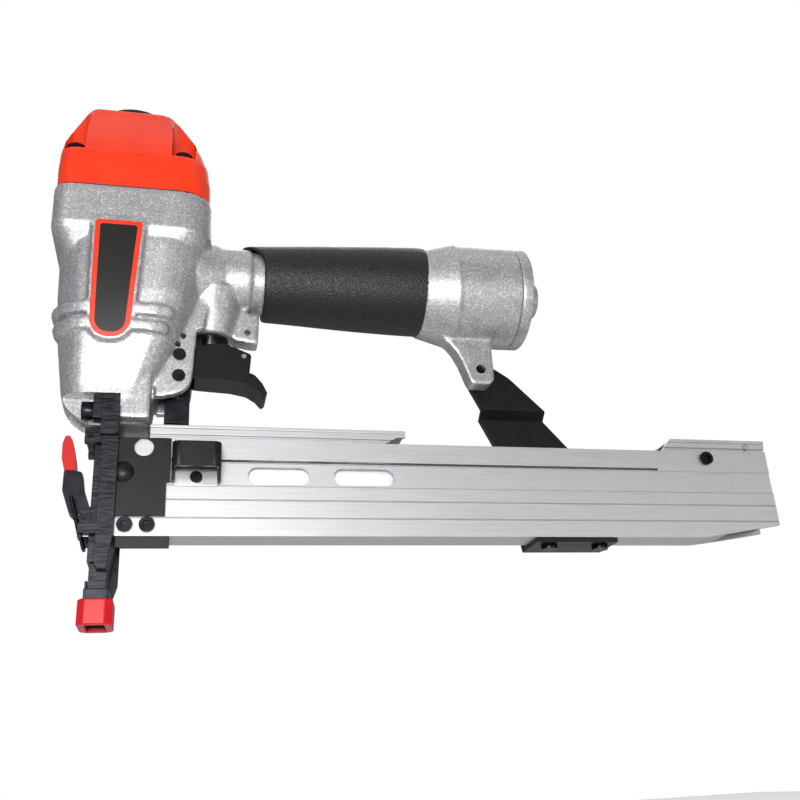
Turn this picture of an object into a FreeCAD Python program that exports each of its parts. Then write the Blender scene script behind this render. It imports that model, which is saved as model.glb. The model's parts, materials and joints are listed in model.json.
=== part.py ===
"""Pneumatic nail gun (stapler-pattern nailer) with a top-loading stick magazine.

Frame: millimetres, +Z up, +X from the nose towards the air inlet, drive axis on Z,
origin at the middle of the contact tip's working face.
"""
import FreeCAD
import Part
import Sketcher
import math
import os
import re
from FreeCAD import Rotation, Vector

os.makedirs("parts", exist_ok=True)
doc = FreeCAD.newDocument("nail_gun")

# Driving dimensions, in millimetres and degrees.
DIMENSIONS = {
    # vertical levels
    "tip_height": 11.0,
    "guide_end": 8.0,
    "bar_low": 23.0,
    "mag_floor": 38.2,
    "mag_height": 45.8,
    "rail_rise": 6.5,
    "seat_level": 87.0,
    "flange_height": 15.2,
    "bore_floor": 105.5,
    "taper_level": 128.0,
    "waist_level": 152.0,
    "shoulder_level": 176.0,
    "joint_level": 204.0,
    "gasket_thick": 0.8,
    "cap_height": 51.2,
    # barrel and cap
    "body_front": 32.0,
    "body_rear": 44.5,
    "body_half": 32.5,
    "corner_cut": 13.0,
    "chamber_rad": 25.0,
    "chamber_floor": 146.0,
    "cap_bore": 24.0,
    "cap_bore_depth": 27.2,
    "cap_screw_front": 22.0,
    "cap_screw_rear": 29.5,
    "cap_screw_side": 24.0,
    "screw_seat": 20.5,
    "cap_axis": 4.0,
    "deflector_rad": 19.0,
    "badge_top": 184.5,
    "badge_low": 127.0,
    "badge_front": -9.4,
    "badge_rear": 12.0,
    "badge_border": 2.2,
    # cylinder and driver
    "bore_rad": 13.8,
    "sleeve_wall": 1.8,
    "sleeve_top": 215.0,
    "piston_thick": 12.0,
    "piston_low": 201.0,
    "bumper_height": 8.5,
    "blade_half": 5.6,
    "blade_thick": 1.3,
    "blade_tip": 86.8,
    # handle
    "handle_level": 173.0,
    "handle_rad": 16.0,
    "air_rad": 12.5,
    "grip_start": 64.0,
    "grip_length": 91.0,
    "grip_front_rad": 18.8,
    "grip_mid_rad": 22.0,
    "grip_rear_rad": 23.7,
    "drum_start": "=grip_start + grip_length + 15",
    "drum_length": 33.5,
    "drum_rad": 27.5,
    "drum_wall": 5.5,
    "end_cap_thick": 6.0,
    "inlet_boss_rad": 9.2,
    "inlet_boss_length": 9.2,
    "inlet_bore_rad": 5.7,
    # ears, trigger and its valve
    "ear_inner": 9.2,
    "ear_outer": 14.0,
    "pivot_along": 31.0,
    "pivot_level": 124.8,
    "guide_pin_level": 113.9,
    "ear_pin_rad": 1.9,
    "valve_along": 45.5,
    "valve_rad": 6.0,
    "boss_level": 139.6,
    "stem_rad": 1.6,
    "stem_low": 128.5,
    "lever_pin_along": 61.6,
    "lever_pin_level": 128.2,
    "lever_pin_rad": 1.2,
    "trigger_out": 8.4,
    "sheet": 1.6,
    # nose, door and latch
    "guide_front": 1.4,
    "guide_rear": 5.9,
    "bar_half": 14.0,
    "door_half": 8.0,
    "door_thick": 2.9,
    "move_gap": 0.3,
    "run_gap": 0.05,
    "hinge_along": -6.5,
    "hinge_level": 84.0,
    "hinge_pin_rad": 1.25,
    "latch_along": -7.5,
    "latch_level": 48.0,
    "latch_pin_rad": 1.5,
    "bail_along": -13.0,
    "bail_level": 56.0,
    "bail_rad": 0.9,
    "bail_half": 7.8,
    "bolt_side": 13.3,
    "bolt_level": 95.0,
    "bolt_rad": 2.5,
    "bolt_head_rad": 4.2,
    # contact arm
    "shoe_front": 5.0,
    "shoe_rear": 5.4,
    "shoe_half": 9.6,
    "arm_travel": 7.0,
    "arm_side": 14.6,
    "arm_plate": 1.8,
    "arm_start": 25.0,
    "arm_end": 36.5,
    # magazine
    "mag_start": 6.0,
    "mag_length": 330.0,
    "mag_half": 10.0,
    "mag_wall": 2.2,
    "rail_half": 4.6,
    "front_rail_end": 139.5,
    "rail_start": 19.2,
    "rear_rail_start": "=mag_start + mag_length - 60",
    "tail_length": 50.0,
    "rear_screw_back": 36.0,
    "stop_pin_back": 11.0,
    "plate_screw_front": 10.3,
    "plate_screw_rear": 19.8,
    "plate_screw_rise": 4.8,
    "slot_level": "=mag_floor + mag_height - 10.9",
    "slot_height": 1.2,
    "pusher_start": 14.0,
    "pusher_length": 34.0,
    "pusher_travel": "=mag_length - 108",
    "band_low": "=mag_floor + mag_height - 22",
    "groove_low": "=band_low - 15.4",
    "groove_high": "=band_low - 7",
    "band_high": "=mag_floor + mag_height - 11.4",
    # bracket
    "lug_hole_along": "=drum_start + 13.4",
    "lug_hole_level": 128.5,
    "lug_half": 5.0,
    "bracket_thick": 2.4,
    "knee_level": 89.0,
    "jog_low": 106.0,
    "jog_high": 110.0,
    "foot_start": "=lug_hole_along + 18.6",
    "foot_length": 42.0,
    "foot_screw_front": "=foot_start + 8.4",
    "foot_screw_rear": "=foot_start + 35",
    # cheek plates
    "bump_ball": 7.0,
    "bump_rise": 2.0,
}

sheet = doc.addObject("Spreadsheet::Sheet", "dim")
for row, (name, value) in enumerate(DIMENSIONS.items(), start=1):
    sheet.set(f"A{row}", name)
    sheet.set(f"B{row}", str(value))
    sheet.setAlias(f"B{row}", name)
doc.recompute()

ALIASES = re.compile(r"\b(" + "|".join(DIMENSIONS) + r")\b")
TURNS = {
    "x": Rotation(Vector(0, 1, 0), 90),
    "y": Rotation(Vector(1, 0, 0), -90),
    "z": Rotation(),
}


def bind(item, prop, text):
    """Bind a property to an expression over the sheet's aliases."""
    item.setExpression(prop, ALIASES.sub(r"dim.\1", f"0 + {text}"))


def read(name):
    """Read one driving dimension from the sheet."""
    return float(sheet.get(name))


def put(item, axis, x, y, z):
    """Turn a primitive's axis from Z to the named one and bind its place."""
    item.Placement.Rotation = TURNS[axis]
    bind(item, "Placement.Base.x", x)
    bind(item, "Placement.Base.y", y)
    bind(item, "Placement.Base.z", z)
    return item


def box(x_low, x_high, y_low, y_high, z_low, z_high):
    """A block between two corners, each bound by its own expression."""
    item = doc.addObject("Part::Box", "Block")
    bind(item, "Length", f"({x_high}) - ({x_low})")
    bind(item, "Width", f"({y_high}) - ({y_low})")
    bind(item, "Height", f"({z_high}) - ({z_low})")
    return put(item, "z", x_low, y_low, z_low)


def rod(axis, radius, length, x, y, z):
    """A cylinder that starts at a point and runs along an axis."""
    item = doc.addObject("Part::Cylinder", "Rod")
    bind(item, "Radius", radius)
    bind(item, "Height", length)
    return put(item, axis, x, y, z)


def cone(axis, first, second, length, x, y, z):
    """A cone frustum that starts at a point and runs along an axis."""
    item = doc.addObject("Part::Cone", "Taper")
    bind(item, "Radius1", first)
    bind(item, "Radius2", second)
    bind(item, "Height", length)
    return put(item, axis, x, y, z)


def torus(axis, major, minor, x, y, z):
    """A round ring about an axis."""
    item = doc.addObject("Part::Torus", "Ring")
    bind(item, "Radius1", major)
    bind(item, "Radius2", minor)
    return put(item, axis, x, y, z)


def fuse(*items, label=None):
    """Join shapes into one; separate solids stay separate."""
    item = doc.addObject("Part::MultiFuse", "Fusion")
    item.Shapes = list(items)
    item.Refine = True
    if label:
        item.Label = label
    return item


def cut(base, *tools, label=None):
    """Take the tools away from the base."""
    item = doc.addObject("Part::Cut", "Cut")
    item.Base = base
    item.Tool = tools[0] if len(tools) == 1 else fuse(*tools)
    item.Refine = True
    if label:
        item.Label = label
    return item


def common(first, second, label=None):
    """Keep what two shapes share."""
    item = doc.addObject("Part::Common", "Common")
    item.Base = first
    item.Tool = second
    if label:
        item.Label = label
    return item


def ring(axis, outer, inner, length, x, y, z, label=None):
    """A plain tube."""
    return cut(rod(axis, outer, length, x, y, z), rod(axis, inner, length, x, y, z), label=label)


def sketch(body, role, points, offset):
    """A closed polygon on one of the body's own origin planes, every corner bound."""
    item = body.newObject("Sketcher::SketchObject", "Outline")
    plane = next(each for each in body.Origin.OriginFeatures if each.Role == role)
    item.AttachmentSupport = [(plane, "")]
    item.MapMode = "FlatFace"
    bind(item, "AttachmentOffset.Base.z", offset)
    count = len(points)
    start = [Vector(math.cos(step * math.tau / count), math.sin(step * math.tau / count), 0)
             for step in range(count)]
    for index in range(count):
        item.addGeometry(Part.LineSegment(start[index], start[(index + 1) % count]), False)
    for index in range(count):
        item.addConstraint(Sketcher.Constraint("Coincident", index, 2, (index + 1) % count, 1))
    for index, corner in enumerate(points):
        for kind, text in zip(("DistanceX", "DistanceY"), corner):
            which = item.addConstraint(Sketcher.Constraint(kind, -1, 1, index, 1, 1.0))
            bind(item, f"Constraints[{which}]", str(text))
    return item


def prism(role, points, low, high, fillets=None):
    """Pad a polygon between two levels along its plane's axis, with rounded corners.

    fillets maps a radius to the corners (indexes into points) that it rounds.
    """
    body = doc.addObject("PartDesign::Body", "Prism")
    offset = f"-({high})" if role == "XZ_Plane" else low
    outline = sketch(body, role, points, offset)
    pad = body.newObject("PartDesign::Pad", "Pad")
    pad.Profile = outline
    bind(pad, "Length", f"({high}) - ({low})")
    for radius, corners in (fillets or {}).items():
        doc.recompute()
        base = body.Tip
        round_off = body.newObject("PartDesign::Fillet", "Round")
        round_off.Base = (base, corner_edges(base.Shape, outline, role, corners))
        bind(round_off, "Radius", radius)
    return body


def corner_edges(shape, outline, role, corners):
    """Names of the edges that run along the pad from the given sketch corners."""
    planar = {"XZ_Plane": (0, 2), "YZ_Plane": (1, 2), "XY_Plane": (0, 1)}[role]
    names = []
    for corner in corners:
        spot = outline.Geometry[corner].StartPoint
        for number, edge in enumerate(shape.Edges, start=1):
            ends = [vertex.Point for vertex in edge.Vertexes]
            if all(abs(end[planar[0]] - spot.x) < 1e-4 and abs(end[planar[1]] - spot.y) < 1e-4
                   for end in ends):
                names.append(f"Edge{number}")
    return names


def octagon(front, rear, half, corner):
    """Corners of a chamfered rectangle about the X axis."""
    return [(f"{front} + {corner}", f"-({half})"), (f"{rear} - {corner}", f"-({half})"),
            (rear, f"{corner} - ({half})"), (rear, f"{half} - {corner}"),
            (f"{rear} - {corner}", half), (f"{front} + {corner}", half),
            (front, f"{half} - {corner}"), (front, f"{corner} - ({half})")]


def loft(sections):
    """Loft chamfered rectangles; each section is (level, front, rear, half, corner)."""
    body = doc.addObject("PartDesign::Body", "Loft")
    outlines = [sketch(body, "XY_Plane", octagon(*section[1:]), section[0])
                for section in sections]
    skin = body.newObject("PartDesign::AdditiveLoft", "Skin")
    skin.Profile = outlines[0]
    skin.Sections = outlines[1:]
    return body


def coil(label, mean, wire, turns, height, x, z):
    """A compression spring that stands on its lower end at (x, 0, z)."""
    path = doc.addObject("Part::Helix", "Turns")
    bind(path, "Radius", mean)
    bind(path, "Height", f"({height}) - 2 * ({wire})")
    bind(path, "Pitch", f"(({height}) - 2 * ({wire})) / {turns}")
    put(path, "z", x, "0", f"({z}) + ({wire})")
    section = doc.addObject("Part::Circle", "Wire")
    bind(section, "Radius", wire)
    put(section, "y", f"({x}) + ({mean})", "0", f"({z}) + ({wire})")
    sweep = doc.addObject("Part::Sweep", "Coil")
    sweep.Sections = [section]
    doc.recompute()
    sweep.Spine = (path, [f"Edge{number + 1}" for number in range(len(path.Shape.Edges))])
    sweep.Solid = True
    sweep.Frenet = True
    sweep.Label = label
    return sweep


def both(maker):
    """Build the same thing on the near (-1) and the far (1) side."""
    return [maker(-1), maker(1)]


def span(side, inner, outer):
    """Y limits of a slab that lies between two distances on one side."""
    return (f"-({outer})", f"-({inner})") if side < 0 else (inner, outer)


# ------------------------------------------------------------------ barrel casting
def barrel(extra):
    """The tapered barrel, grown sideways by extra."""
    return loft([
        ("seat_level", "-13", "18.7", f"13 + {extra}", "7"),
        ("bore_floor", "-body_front * 0.62", "body_rear * 0.46", f"body_half * 0.58 + {extra}", "9"),
        ("taper_level", "-body_front * 0.8", "body_rear * 0.69", f"body_half * 0.77 + {extra}", "14"),
        ("waist_level", "-body_front * 0.92", "body_rear * 0.87", f"body_half * 0.91 + {extra}", "12"),
        ("shoulder_level", "-body_front * 0.985", "body_rear * 0.985", f"body_half * 0.98 + {extra}",
         "corner_cut"),
        ("joint_level", "-body_front", "body_rear", f"body_half + {extra}", "corner_cut"),
    ])


def screw_places():
    """Centres of the four cap screws."""
    return [(along, side) for along in ("-cap_screw_front", "cap_screw_rear")
            for side in ("-cap_screw_side", "cap_screw_side")]


def body_casting():
    """Barrel, ears, neck, handle tube and rear drum, cast in one piece."""
    ears = both(lambda side: prism("XZ_Plane", [
        ("20.8", "103.2"), ("28.4", "104"), ("35.5", "107.8"), ("37.2", "113"),
        ("38.8", "boss_level - 0.8"), ("42", "boss_level"), ("45", "165"), ("30", "165"),
        ("24.7", "128"), ("20.8", "113.3")], *span(side, "ear_inner", "ear_outer"), {"4": [2]}))
    pad = box("guide_rear", "18.7", "-17.5", "17.5", "seat_level", "seat_level + 35")
    neck = rod("x", "handle_rad + 1.2", "grip_start - 20", "20", "0", "handle_level")
    valve_boss = cone("z", "valve_rad + 4.8", "handle_rad + 1", "24", "valve_along", "0", "boss_level")
    tube = rod("x", "handle_rad", "drum_start - grip_start + 1", "grip_start - 1", "0", "handle_level")
    flare = cone("x", "handle_rad + 4", "drum_rad", "14", "drum_start - 14", "0", "handle_level")
    drum = rod("x", "drum_rad", "drum_length", "drum_start", "0", "handle_level")
    lug = prism("XZ_Plane", [
        ("drum_start - 12", "handle_level - 17"), ("drum_start - 10", "lug_hole_level + 20.5"),
        ("drum_start - 2", "lug_hole_level + 14"), ("drum_start + 2.5", "lug_hole_level + 7"),
        ("lug_hole_along - 6", "lug_hole_level - 8.5"),
        ("lug_hole_along + 7.1", "lug_hole_level - 8.5"), ("lug_hole_along + 7.1", "handle_level - 20")],
        "-lug_half", "lug_half", {"4": [3, 4, 5]})
    small_lug = prism("XZ_Plane", [
        ("grip_start - 9.2", "handle_level - 17"), ("grip_start - 9.2", "boss_level - 1.4"),
        ("grip_start + 4.6", "boss_level - 2.8"),
        ("grip_start + 5.3", "handle_level - grip_front_rad - 0.6"),
        ("grip_start - 0.5", "handle_level - grip_front_rad - 0.6"),
        ("grip_start - 0.5", "handle_level - 17")],
        "-5", "5")
    solid = fuse(barrel("0"), pad, neck, valve_boss, tube, flare, drum, lug, small_lug, *ears)

    cavities = [
        rod("z", "bore_rad + sleeve_wall", "joint_level - bore_floor + 1", "0", "0", "bore_floor"),
        rod("z", "chamber_rad", "joint_level - chamber_floor + 1", "0", "0", "chamber_floor"),
        rod("x", "air_rad", "drum_start + drum_length - 10", "10", "0", "handle_level"),
        rod("x", "drum_rad - drum_wall", "drum_length - 4", "drum_start + 4", "0", "handle_level"),
        rod("z", "valve_rad", "24", "valve_along", "0", "boss_level - 1"),
        box("-blade_thick / 2 - 0.4", "blade_thick / 2 + 0.4", "-blade_half - 0.6",
            "blade_half + 0.6", "seat_level - 1", "bore_floor + 1"),
        box("22", "47", "-ear_inner", "ear_inner", "seat_level - 1", "boss_level"),
        rod("y", "bolt_rad + 0.1", "2 * lug_half + 2", "lug_hole_along", "-lug_half - 1",
            "lug_hole_level"),
        rod("y", "1.6", "12", "grip_start - 0.6", "-6", "boss_level + 3.3"),
        box("-body_front", "-4.5", "-6.3", "6.3", "seat_level - 1", "seat_level + 11"),
    ]
    for side in (-1, 1):
        cavities.append(box("-24", "guide_rear", *span(side, "bolt_side - bolt_head_rad - 0.3", "24"),
                            "seat_level - 1", "seat_level + flange_height + 0.3"))
        cavities.append(rod("x", "bolt_rad", "11", "guide_rear - 0.1", f"{side} * bolt_side",
                            "bolt_level"))
    for along, level, radius in (("pivot_along", "pivot_level", "ear_pin_rad"),
                                 ("pivot_along", "guide_pin_level", "ear_pin_rad"),
                                 ("pivot_along + 1.5", "pivot_level + 9.8", "1.3"),
                                 ("pivot_along - 0.9", "pivot_level + 5.3", "1.3")):
        cavities.append(rod("y", radius, "2 * ear_outer + 2", along, "-ear_outer - 1", level))
    for along, side in screw_places():
        cavities.append(rod("z", "bolt_rad", "19", along, side, "joint_level - 18"))
    return cut(solid, *cavities, label="body_casting")


def badge(label, inset, lift):
    """A thin plate with a badge's outline, laid on the barrel's near face."""
    outline = prism("XZ_Plane", [
        (f"badge_front + {inset}", f"badge_top - {inset}"),
        (f"badge_rear - {inset}", f"badge_top - {inset}"),
        (f"badge_rear - 3.8 - {inset}", f"badge_low + {inset}"),
        (f"badge_front + {inset}", f"badge_low + {inset}")],
        "-body_half - 8", "-body_half * 0.5", {f"8 - {inset}": [2, 3], "1.5": [0, 1]})
    skin = cut(barrel(lift), barrel("0"))
    return common(outline, skin, label=label)


def badges():
    """A bordered badge: the border rings the face."""
    face = badge("badge_face", "badge_border", "0.9")
    whole = badge("badge_blank", "0", "0.7")
    hole = prism("XZ_Plane", [
        ("badge_front + badge_border", "badge_top - badge_border"),
        ("badge_rear - badge_border", "badge_top - badge_border"),
        ("badge_rear - 3.8 - badge_border", "badge_low + badge_border"),
        ("badge_front + badge_border", "badge_low + badge_border")],
        "-body_half - 8", "-body_half * 0.5", {"8 - badge_border": [2, 3], "1.5": [0, 1]})
    return [face, cut(whole, hole, label="badge_border")]


# ------------------------------------------------------------------ head
def head_cap():
    """Domed cap with four screw recesses and a ring of exhaust ports."""
    base = "joint_level + gasket_thick"
    solid = loft([
        (base, "-body_front + 0.7", "body_rear - 0.5", "body_half - 0.7", "corner_cut"),
        (f"{base} + 20", "-body_front + 1", "body_rear - 1.5", "body_half - 2", "14"),
        (f"{base} + 36", "-body_front * 0.79", "body_rear * 0.8", "body_half * 0.79", "13"),
        (f"{base} + 46", "-body_front * 0.56", "body_rear * 0.58", "body_half * 0.6", "10"),
        (f"{base} + cap_height", "cap_axis - 15", "cap_axis + 15", "14", "8"),
    ])
    cavities = [rod("z", "cap_bore", "cap_bore_depth + 1", "0", "0", f"{base} - 1"),
                rod("z", "2", "cap_height", "cap_axis", "0", f"{base} + cap_bore_depth")]
    for turn in range(6):
        along = f"cap_axis + 9 * cos({60 * turn} deg)"
        side = f"9 * sin({60 * turn} deg)"
        cavities.append(rod("z", "2.8", "cap_height", along, side, base))
    for along, side in screw_places():
        cavities.append(rod("z", "6", "40", along, side, f"{base} + screw_seat"))
        cavities.append(rod("z", "bolt_rad", "40", along, side, f"{base} - 1"))
    return cut(solid, *cavities, label="head_cap")


def cap_gasket():
    """Flat seal between barrel and cap."""
    plate = prism("XY_Plane", octagon("-body_front + 0.7", "body_rear - 0.5", "body_half - 0.7",
                                      "corner_cut"), "joint_level", "joint_level + gasket_thick")
    holes = [rod("z", "bolt_rad", "3", along, side, "joint_level - 1")
             for along, side in screw_places()]
    return cut(plate, rod("z", "cap_bore", "3", "0", "0", "joint_level - 1"), *holes,
               label="cap_gasket")


def socket_screw(axis, sense, head, head_height, shank, length, x, y, z):
    """A cap screw seated at a point: the shank runs along sense * axis, the head the other way."""
    def shifted(distance):
        """The seat, moved along the axis."""
        return [f"({place}) + ({distance})" if name == axis else place
                for name, place in zip("xyz", (x, y, z))]

    head_low = f"-({head_height})" if sense > 0 else "0"
    stem_low = "0" if sense > 0 else f"-({length})"
    key_low = head_low if sense > 0 else f"({head_height}) * 0.4"
    top = rod(axis, head, head_height, *shifted(head_low))
    stem = rod(axis, shank, length, *shifted(stem_low))
    key = rod(axis, f"({head}) * 0.5", f"({head_height}) * 0.6", *shifted(key_low))
    return cut(fuse(top, stem), key)


def cap_screws():
    """Four socket screws, heads in the cap's recesses."""
    seat = "joint_level + gasket_thick + screw_seat"
    screws = [socket_screw("z", -1, "4.4", "5", "bolt_rad", "screw_seat + gasket_thick + 17",
                           along, side, seat) for along, side in screw_places()]
    return fuse(*screws, label="cap_screws")


def exhaust_deflector():
    """Turning cap that throws the exhaust to one side."""
    top = "joint_level + gasket_thick + cap_height"
    disc = rod("z", "deflector_rad", "5.2", "cap_axis", "0", f"{top} + move_gap")
    return cut(disc,
               rod("z", "deflector_rad - 3", "3", "cap_axis", "0", f"{top} + move_gap - 0.1"),
               box("cap_axis", "cap_axis + deflector_rad + 1", "-7", "7",
                   f"{top} + move_gap - 0.1", f"{top} + move_gap + 2.9"),
               rod("z", "2 + move_gap", "8", "cap_axis", "0", top),
               rod("z", "5", "3", "cap_axis", "0", f"{top} + move_gap + 4"),
               label="exhaust_deflector")


def deflector_screw():
    """Screw that holds the deflector, its head sunk in the disc."""
    top = "joint_level + gasket_thick + cap_height"
    head = rod("z", "4.6", "1.1", "cap_axis", "0", f"{top} + 2 * move_gap + 4")
    shank = rod("z", "2", "16", "cap_axis", "0", f"{top} + 2 * move_gap - 12")
    return fuse(head, shank, label="deflector_screw")


def head_valve():
    """Poppet that seals the top of the cylinder."""
    low = "sleeve_top + move_gap"
    disc = rod("z", "cap_bore - move_gap", "10", "0", "0", low)
    return cut(disc, rod("z", "17", "6", "0", "0", f"{low} + 5"),
               torus("z", "cap_bore - run_gap - 0.85", "0.85", "0", "0", f"{low} + 7.5"),
               label="head_valve")


def head_valve_ring():
    """O-ring round the head valve."""
    item = torus("z", "cap_bore - run_gap - 0.85", "0.85", "0", "0", "sleeve_top + move_gap + 7.5")
    item.Label = "head_valve_ring"
    return item


def head_valve_spring():
    """Spring that holds the head valve shut."""
    return coil("head_valve_spring", "13.5", "0.8", "4",
                "joint_level + gasket_thick + cap_bore_depth - sleeve_top - move_gap - 5.2",
                "0", "sleeve_top + move_gap + 5.1")


# ------------------------------------------------------------------ cylinder and driver
def cylinder_sleeve():
    """Cylinder liner with a collar on the chamber floor."""
    outer = "bore_rad + sleeve_wall"
    tube = rod("z", outer, "sleeve_top - bore_floor", "0", "0", "bore_floor")
    collar = rod("z", "chamber_rad", "4", "0", "0", "chamber_floor")
    bore = rod("z", "bore_rad", "sleeve_top - bore_floor + 2", "0", "0", "bore_floor - 1")
    ports = [rod("z", "1.5", "6", f"20 * cos({60 * turn} deg)", f"20 * sin({60 * turn} deg)",
                 "chamber_floor - 1") for turn in range(6)]
    return cut(fuse(tube, collar), bore, *ports, label="cylinder_sleeve")


def piston():
    """Piston with a slot for the driver and a ring groove."""
    disc = rod("z", "bore_rad - move_gap", "piston_thick", "0", "0", "piston_low")
    slot = box("-blade_thick / 2", "blade_thick / 2", "-blade_half", "blade_half",
               "piston_low - 1", "piston_low + piston_thick / 2 - 1.5")
    groove = torus("z", "bore_rad - 0.9", "0.8", "0", "0", "piston_low + piston_thick * 0.7")
    return cut(disc, slot, groove, label="piston")


def piston_ring():
    """O-ring round the piston."""
    item = torus("z", "bore_rad - 0.9", "0.8", "0", "0", "piston_low + piston_thick * 0.7")
    item.Label = "piston_ring"
    return item


def driver_blade():
    """Flat driver that strikes the fastener."""
    item = box("-blade_thick / 2", "blade_thick / 2", "-blade_half", "blade_half", "blade_tip",
               "piston_low + piston_thick / 2 - 1.5")
    item.Label = "driver_blade"
    return item


def bumper():
    """Rubber stop under the piston."""
    disc = rod("z", "bore_rad", "bumper_height", "0", "0", "bore_floor")
    slot = box("-blade_thick / 2 - 0.6", "blade_thick / 2 + 0.6", "-blade_half - 0.6",
               "blade_half + 0.6", "bore_floor - 1", "bore_floor + bumper_height + 1")
    return cut(disc, slot, label="bumper")


# ------------------------------------------------------------------ handle
def grip_sleeve():
    """Rubber grip that swells towards the rear."""
    body = doc.addObject("PartDesign::Body", "GripSkin")
    plane = next(each for each in body.Origin.OriginFeatures if each.Role == "YZ_Plane")
    outlines = []
    for share, radius, lift in ((0, "grip_front_rad", "0"), (0.5, "grip_mid_rad", "0.6"),
                                (1, "grip_rear_rad", "1.2")):
        item = body.newObject("Sketcher::SketchObject", "Section")
        item.AttachmentSupport = [(plane, "")]
        item.MapMode = "FlatFace"
        bind(item, "AttachmentOffset.Base.z", f"grip_start + grip_length * {share}")
        item.addGeometry(Part.Circle(Vector(0, 170, 0), Vector(0, 0, 1), 20), False)
        size = item.addConstraint(Sketcher.Constraint("Radius", 0, 20.0))
        bind(item, f"Constraints[{size}]", radius)
        item.addConstraint(Sketcher.Constraint("PointOnObject", 0, 3, -2))
        level = item.addConstraint(Sketcher.Constraint("DistanceY", -1, 1, 0, 3, 170.0))
        bind(item, f"Constraints[{level}]", f"handle_level + {lift}")
        outlines.append(item)
    skin = body.newObject("PartDesign::AdditiveLoft", "Skin")
    skin.Profile = outlines[0]
    skin.Sections = outlines[1:]
    core = fuse(rod("x", "handle_rad", "grip_length + 2", "grip_start - 1", "0", "handle_level"),
                cone("x", "handle_rad + 4", "drum_rad", "14", "drum_start - 14", "0",
                     "handle_level"))
    return cut(body, core, label="grip_sleeve")


def rear_end_cap():
    """End cap of the air chamber with the threaded air inlet."""
    start = "drum_start + drum_length"
    plate = rod("x", "drum_rad - 0.3", "end_cap_thick", start, "0", "handle_level")
    boss = rod("x", "inlet_boss_rad", "inlet_boss_length", f"{start} + end_cap_thick", "0",
               "handle_level")
    bore = rod("x", "inlet_bore_rad", "end_cap_thick + inlet_boss_length + 2", f"{start} - 1",
               "0", "handle_level")
    return cut(fuse(plate, boss), bore, label="rear_end_cap")


# ------------------------------------------------------------------ trigger group
def trigger_valve_body():
    """Valve cartridge with a bare neck below the washer."""
    barrel_part = rod("z", "valve_rad", "22", "valve_along", "0", "boss_level")
    neck = rod("z", "4", "5.1", "valve_along", "0", "boss_level - 5.1")
    grooves = [ring("z", "valve_rad + 1", "valve_rad - 1", "1", "valve_along", "0",
                    f"boss_level + {rise} - 0.5") for rise in (4, 14)]
    return cut(fuse(barrel_part, neck),
               rod("z", "stem_rad + run_gap", "40", "valve_along", "0", "boss_level - 10"),
               rod("z", "4.4", "20", "valve_along", "0", "boss_level + 10"), *grooves,
               label="trigger_valve_body")


def valve_rings():
    """Two O-rings of the valve cartridge."""
    return fuse(*[torus("z", "valve_rad - 0.5", "0.5", "valve_along", "0", f"boss_level + {rise}")
                  for rise in (4, 14)], label="valve_rings")


def valve_retainer():
    """Washer that keeps the valve cartridge in its boss."""
    return ring("z", "valve_rad + 2.6", "4", "1", "valve_along", "0", "boss_level - 1",
                label="valve_retainer")


def valve_stem():
    """Stem that the trigger lifts."""
    stem = rod("z", "stem_rad", "30", "valve_along", "0", "stem_low")
    collar = rod("z", "3.8", "2", "valve_along", "0", "boss_level + 12")
    return fuse(stem, collar, label="valve_stem")


def stem_spring():
    """Spring over the stem's collar."""
    return coil("stem_spring", "2.9", "0.45", "4", "7", "valve_along", "boss_level + 14.1")


def trigger():
    """Sheet-steel trigger: two side plates and a curved finger plate."""
    outline = [("27.8", "pivot_level + 2.4"), ("27.8", "pivot_level - 3.2"),
               ("33", "pivot_level - 6.2"), ("38", "116.2"), ("43", "115.8"),
               ("64", "pivot_level - 9"), ("65.2", "pivot_level + 4.4"), ("53", "pivot_level + 9.5"),
               ("44", "pivot_level + 9.2"), ("40", "pivot_level + 7")]
    plates = both(lambda side: prism("XZ_Plane", outline,
                                     *span(side, "trigger_out - sheet", "trigger_out"),
                                     {"2": [0, 1, 6]}))
    finger = prism("XZ_Plane", [
        ("38.5", "116.2"), ("43", "115.8"), ("56", "115"), ("63.6", "113.4"), ("68", "110.6"),
        ("71", "107.1"), ("73", "108.8"), ("70.5", "114"), ("66.5", "118.8"), ("62", "119.8"),
        ("43", "119.2"), ("38.5", "119.4")], "-trigger_out", "trigger_out",
        {"5": [3, 8], "1": [5, 6]})
    length = "2 * trigger_out + 2"
    return cut(fuse(finger, *plates),
               rod("y", "ear_pin_rad + run_gap", length, "pivot_along", "-trigger_out - 1",
                   "pivot_level"),
               rod("y", "lever_pin_rad", length, "lever_pin_along", "-trigger_out - 1",
                   "lever_pin_level"), label="trigger")


def ear_pins():
    """Trigger pivot and contact-arm guide pin, each headed at both ends."""
    pins = []
    for level in ("pivot_level", "guide_pin_level"):
        pins.append(rod("y", "ear_pin_rad", "2 * ear_outer", "pivot_along", "-ear_outer", level))
        pins.append(rod("y", "3", "1.1", "pivot_along", "-ear_outer - 1.1", level))
        pins.append(rod("y", "3", "1.1", "pivot_along", "ear_outer", level))
    return fuse(*pins, label="ear_pins")


def trigger_lever():
    """Rocking lever between the trigger's plates."""
    arm = prism("XZ_Plane", [
        ("64", "lever_pin_level - 2.2"), ("64.2", "lever_pin_level + 1.8"),
        ("60", "lever_pin_level + 2.4"), ("50", "lever_pin_level - 0.8"),
        ("35", "lever_pin_level - 3.6"), ("34.2", "lever_pin_level - 5.6"),
        ("50", "lever_pin_level - 4"), ("61", "lever_pin_level - 2.6")], "-3.4", "3.4",
        {"1.5": [0, 1]})
    return cut(arm, rod("y", "lever_pin_rad + run_gap", "10", "lever_pin_along", "-5",
                        "lever_pin_level"), label="trigger_lever")


def lever_pin():
    """Pin that carries the rocking lever."""
    item = rod("y", "lever_pin_rad", "2 * trigger_out", "lever_pin_along", "-trigger_out",
               "lever_pin_level")
    item.Label = "lever_pin"
    return item


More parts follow.
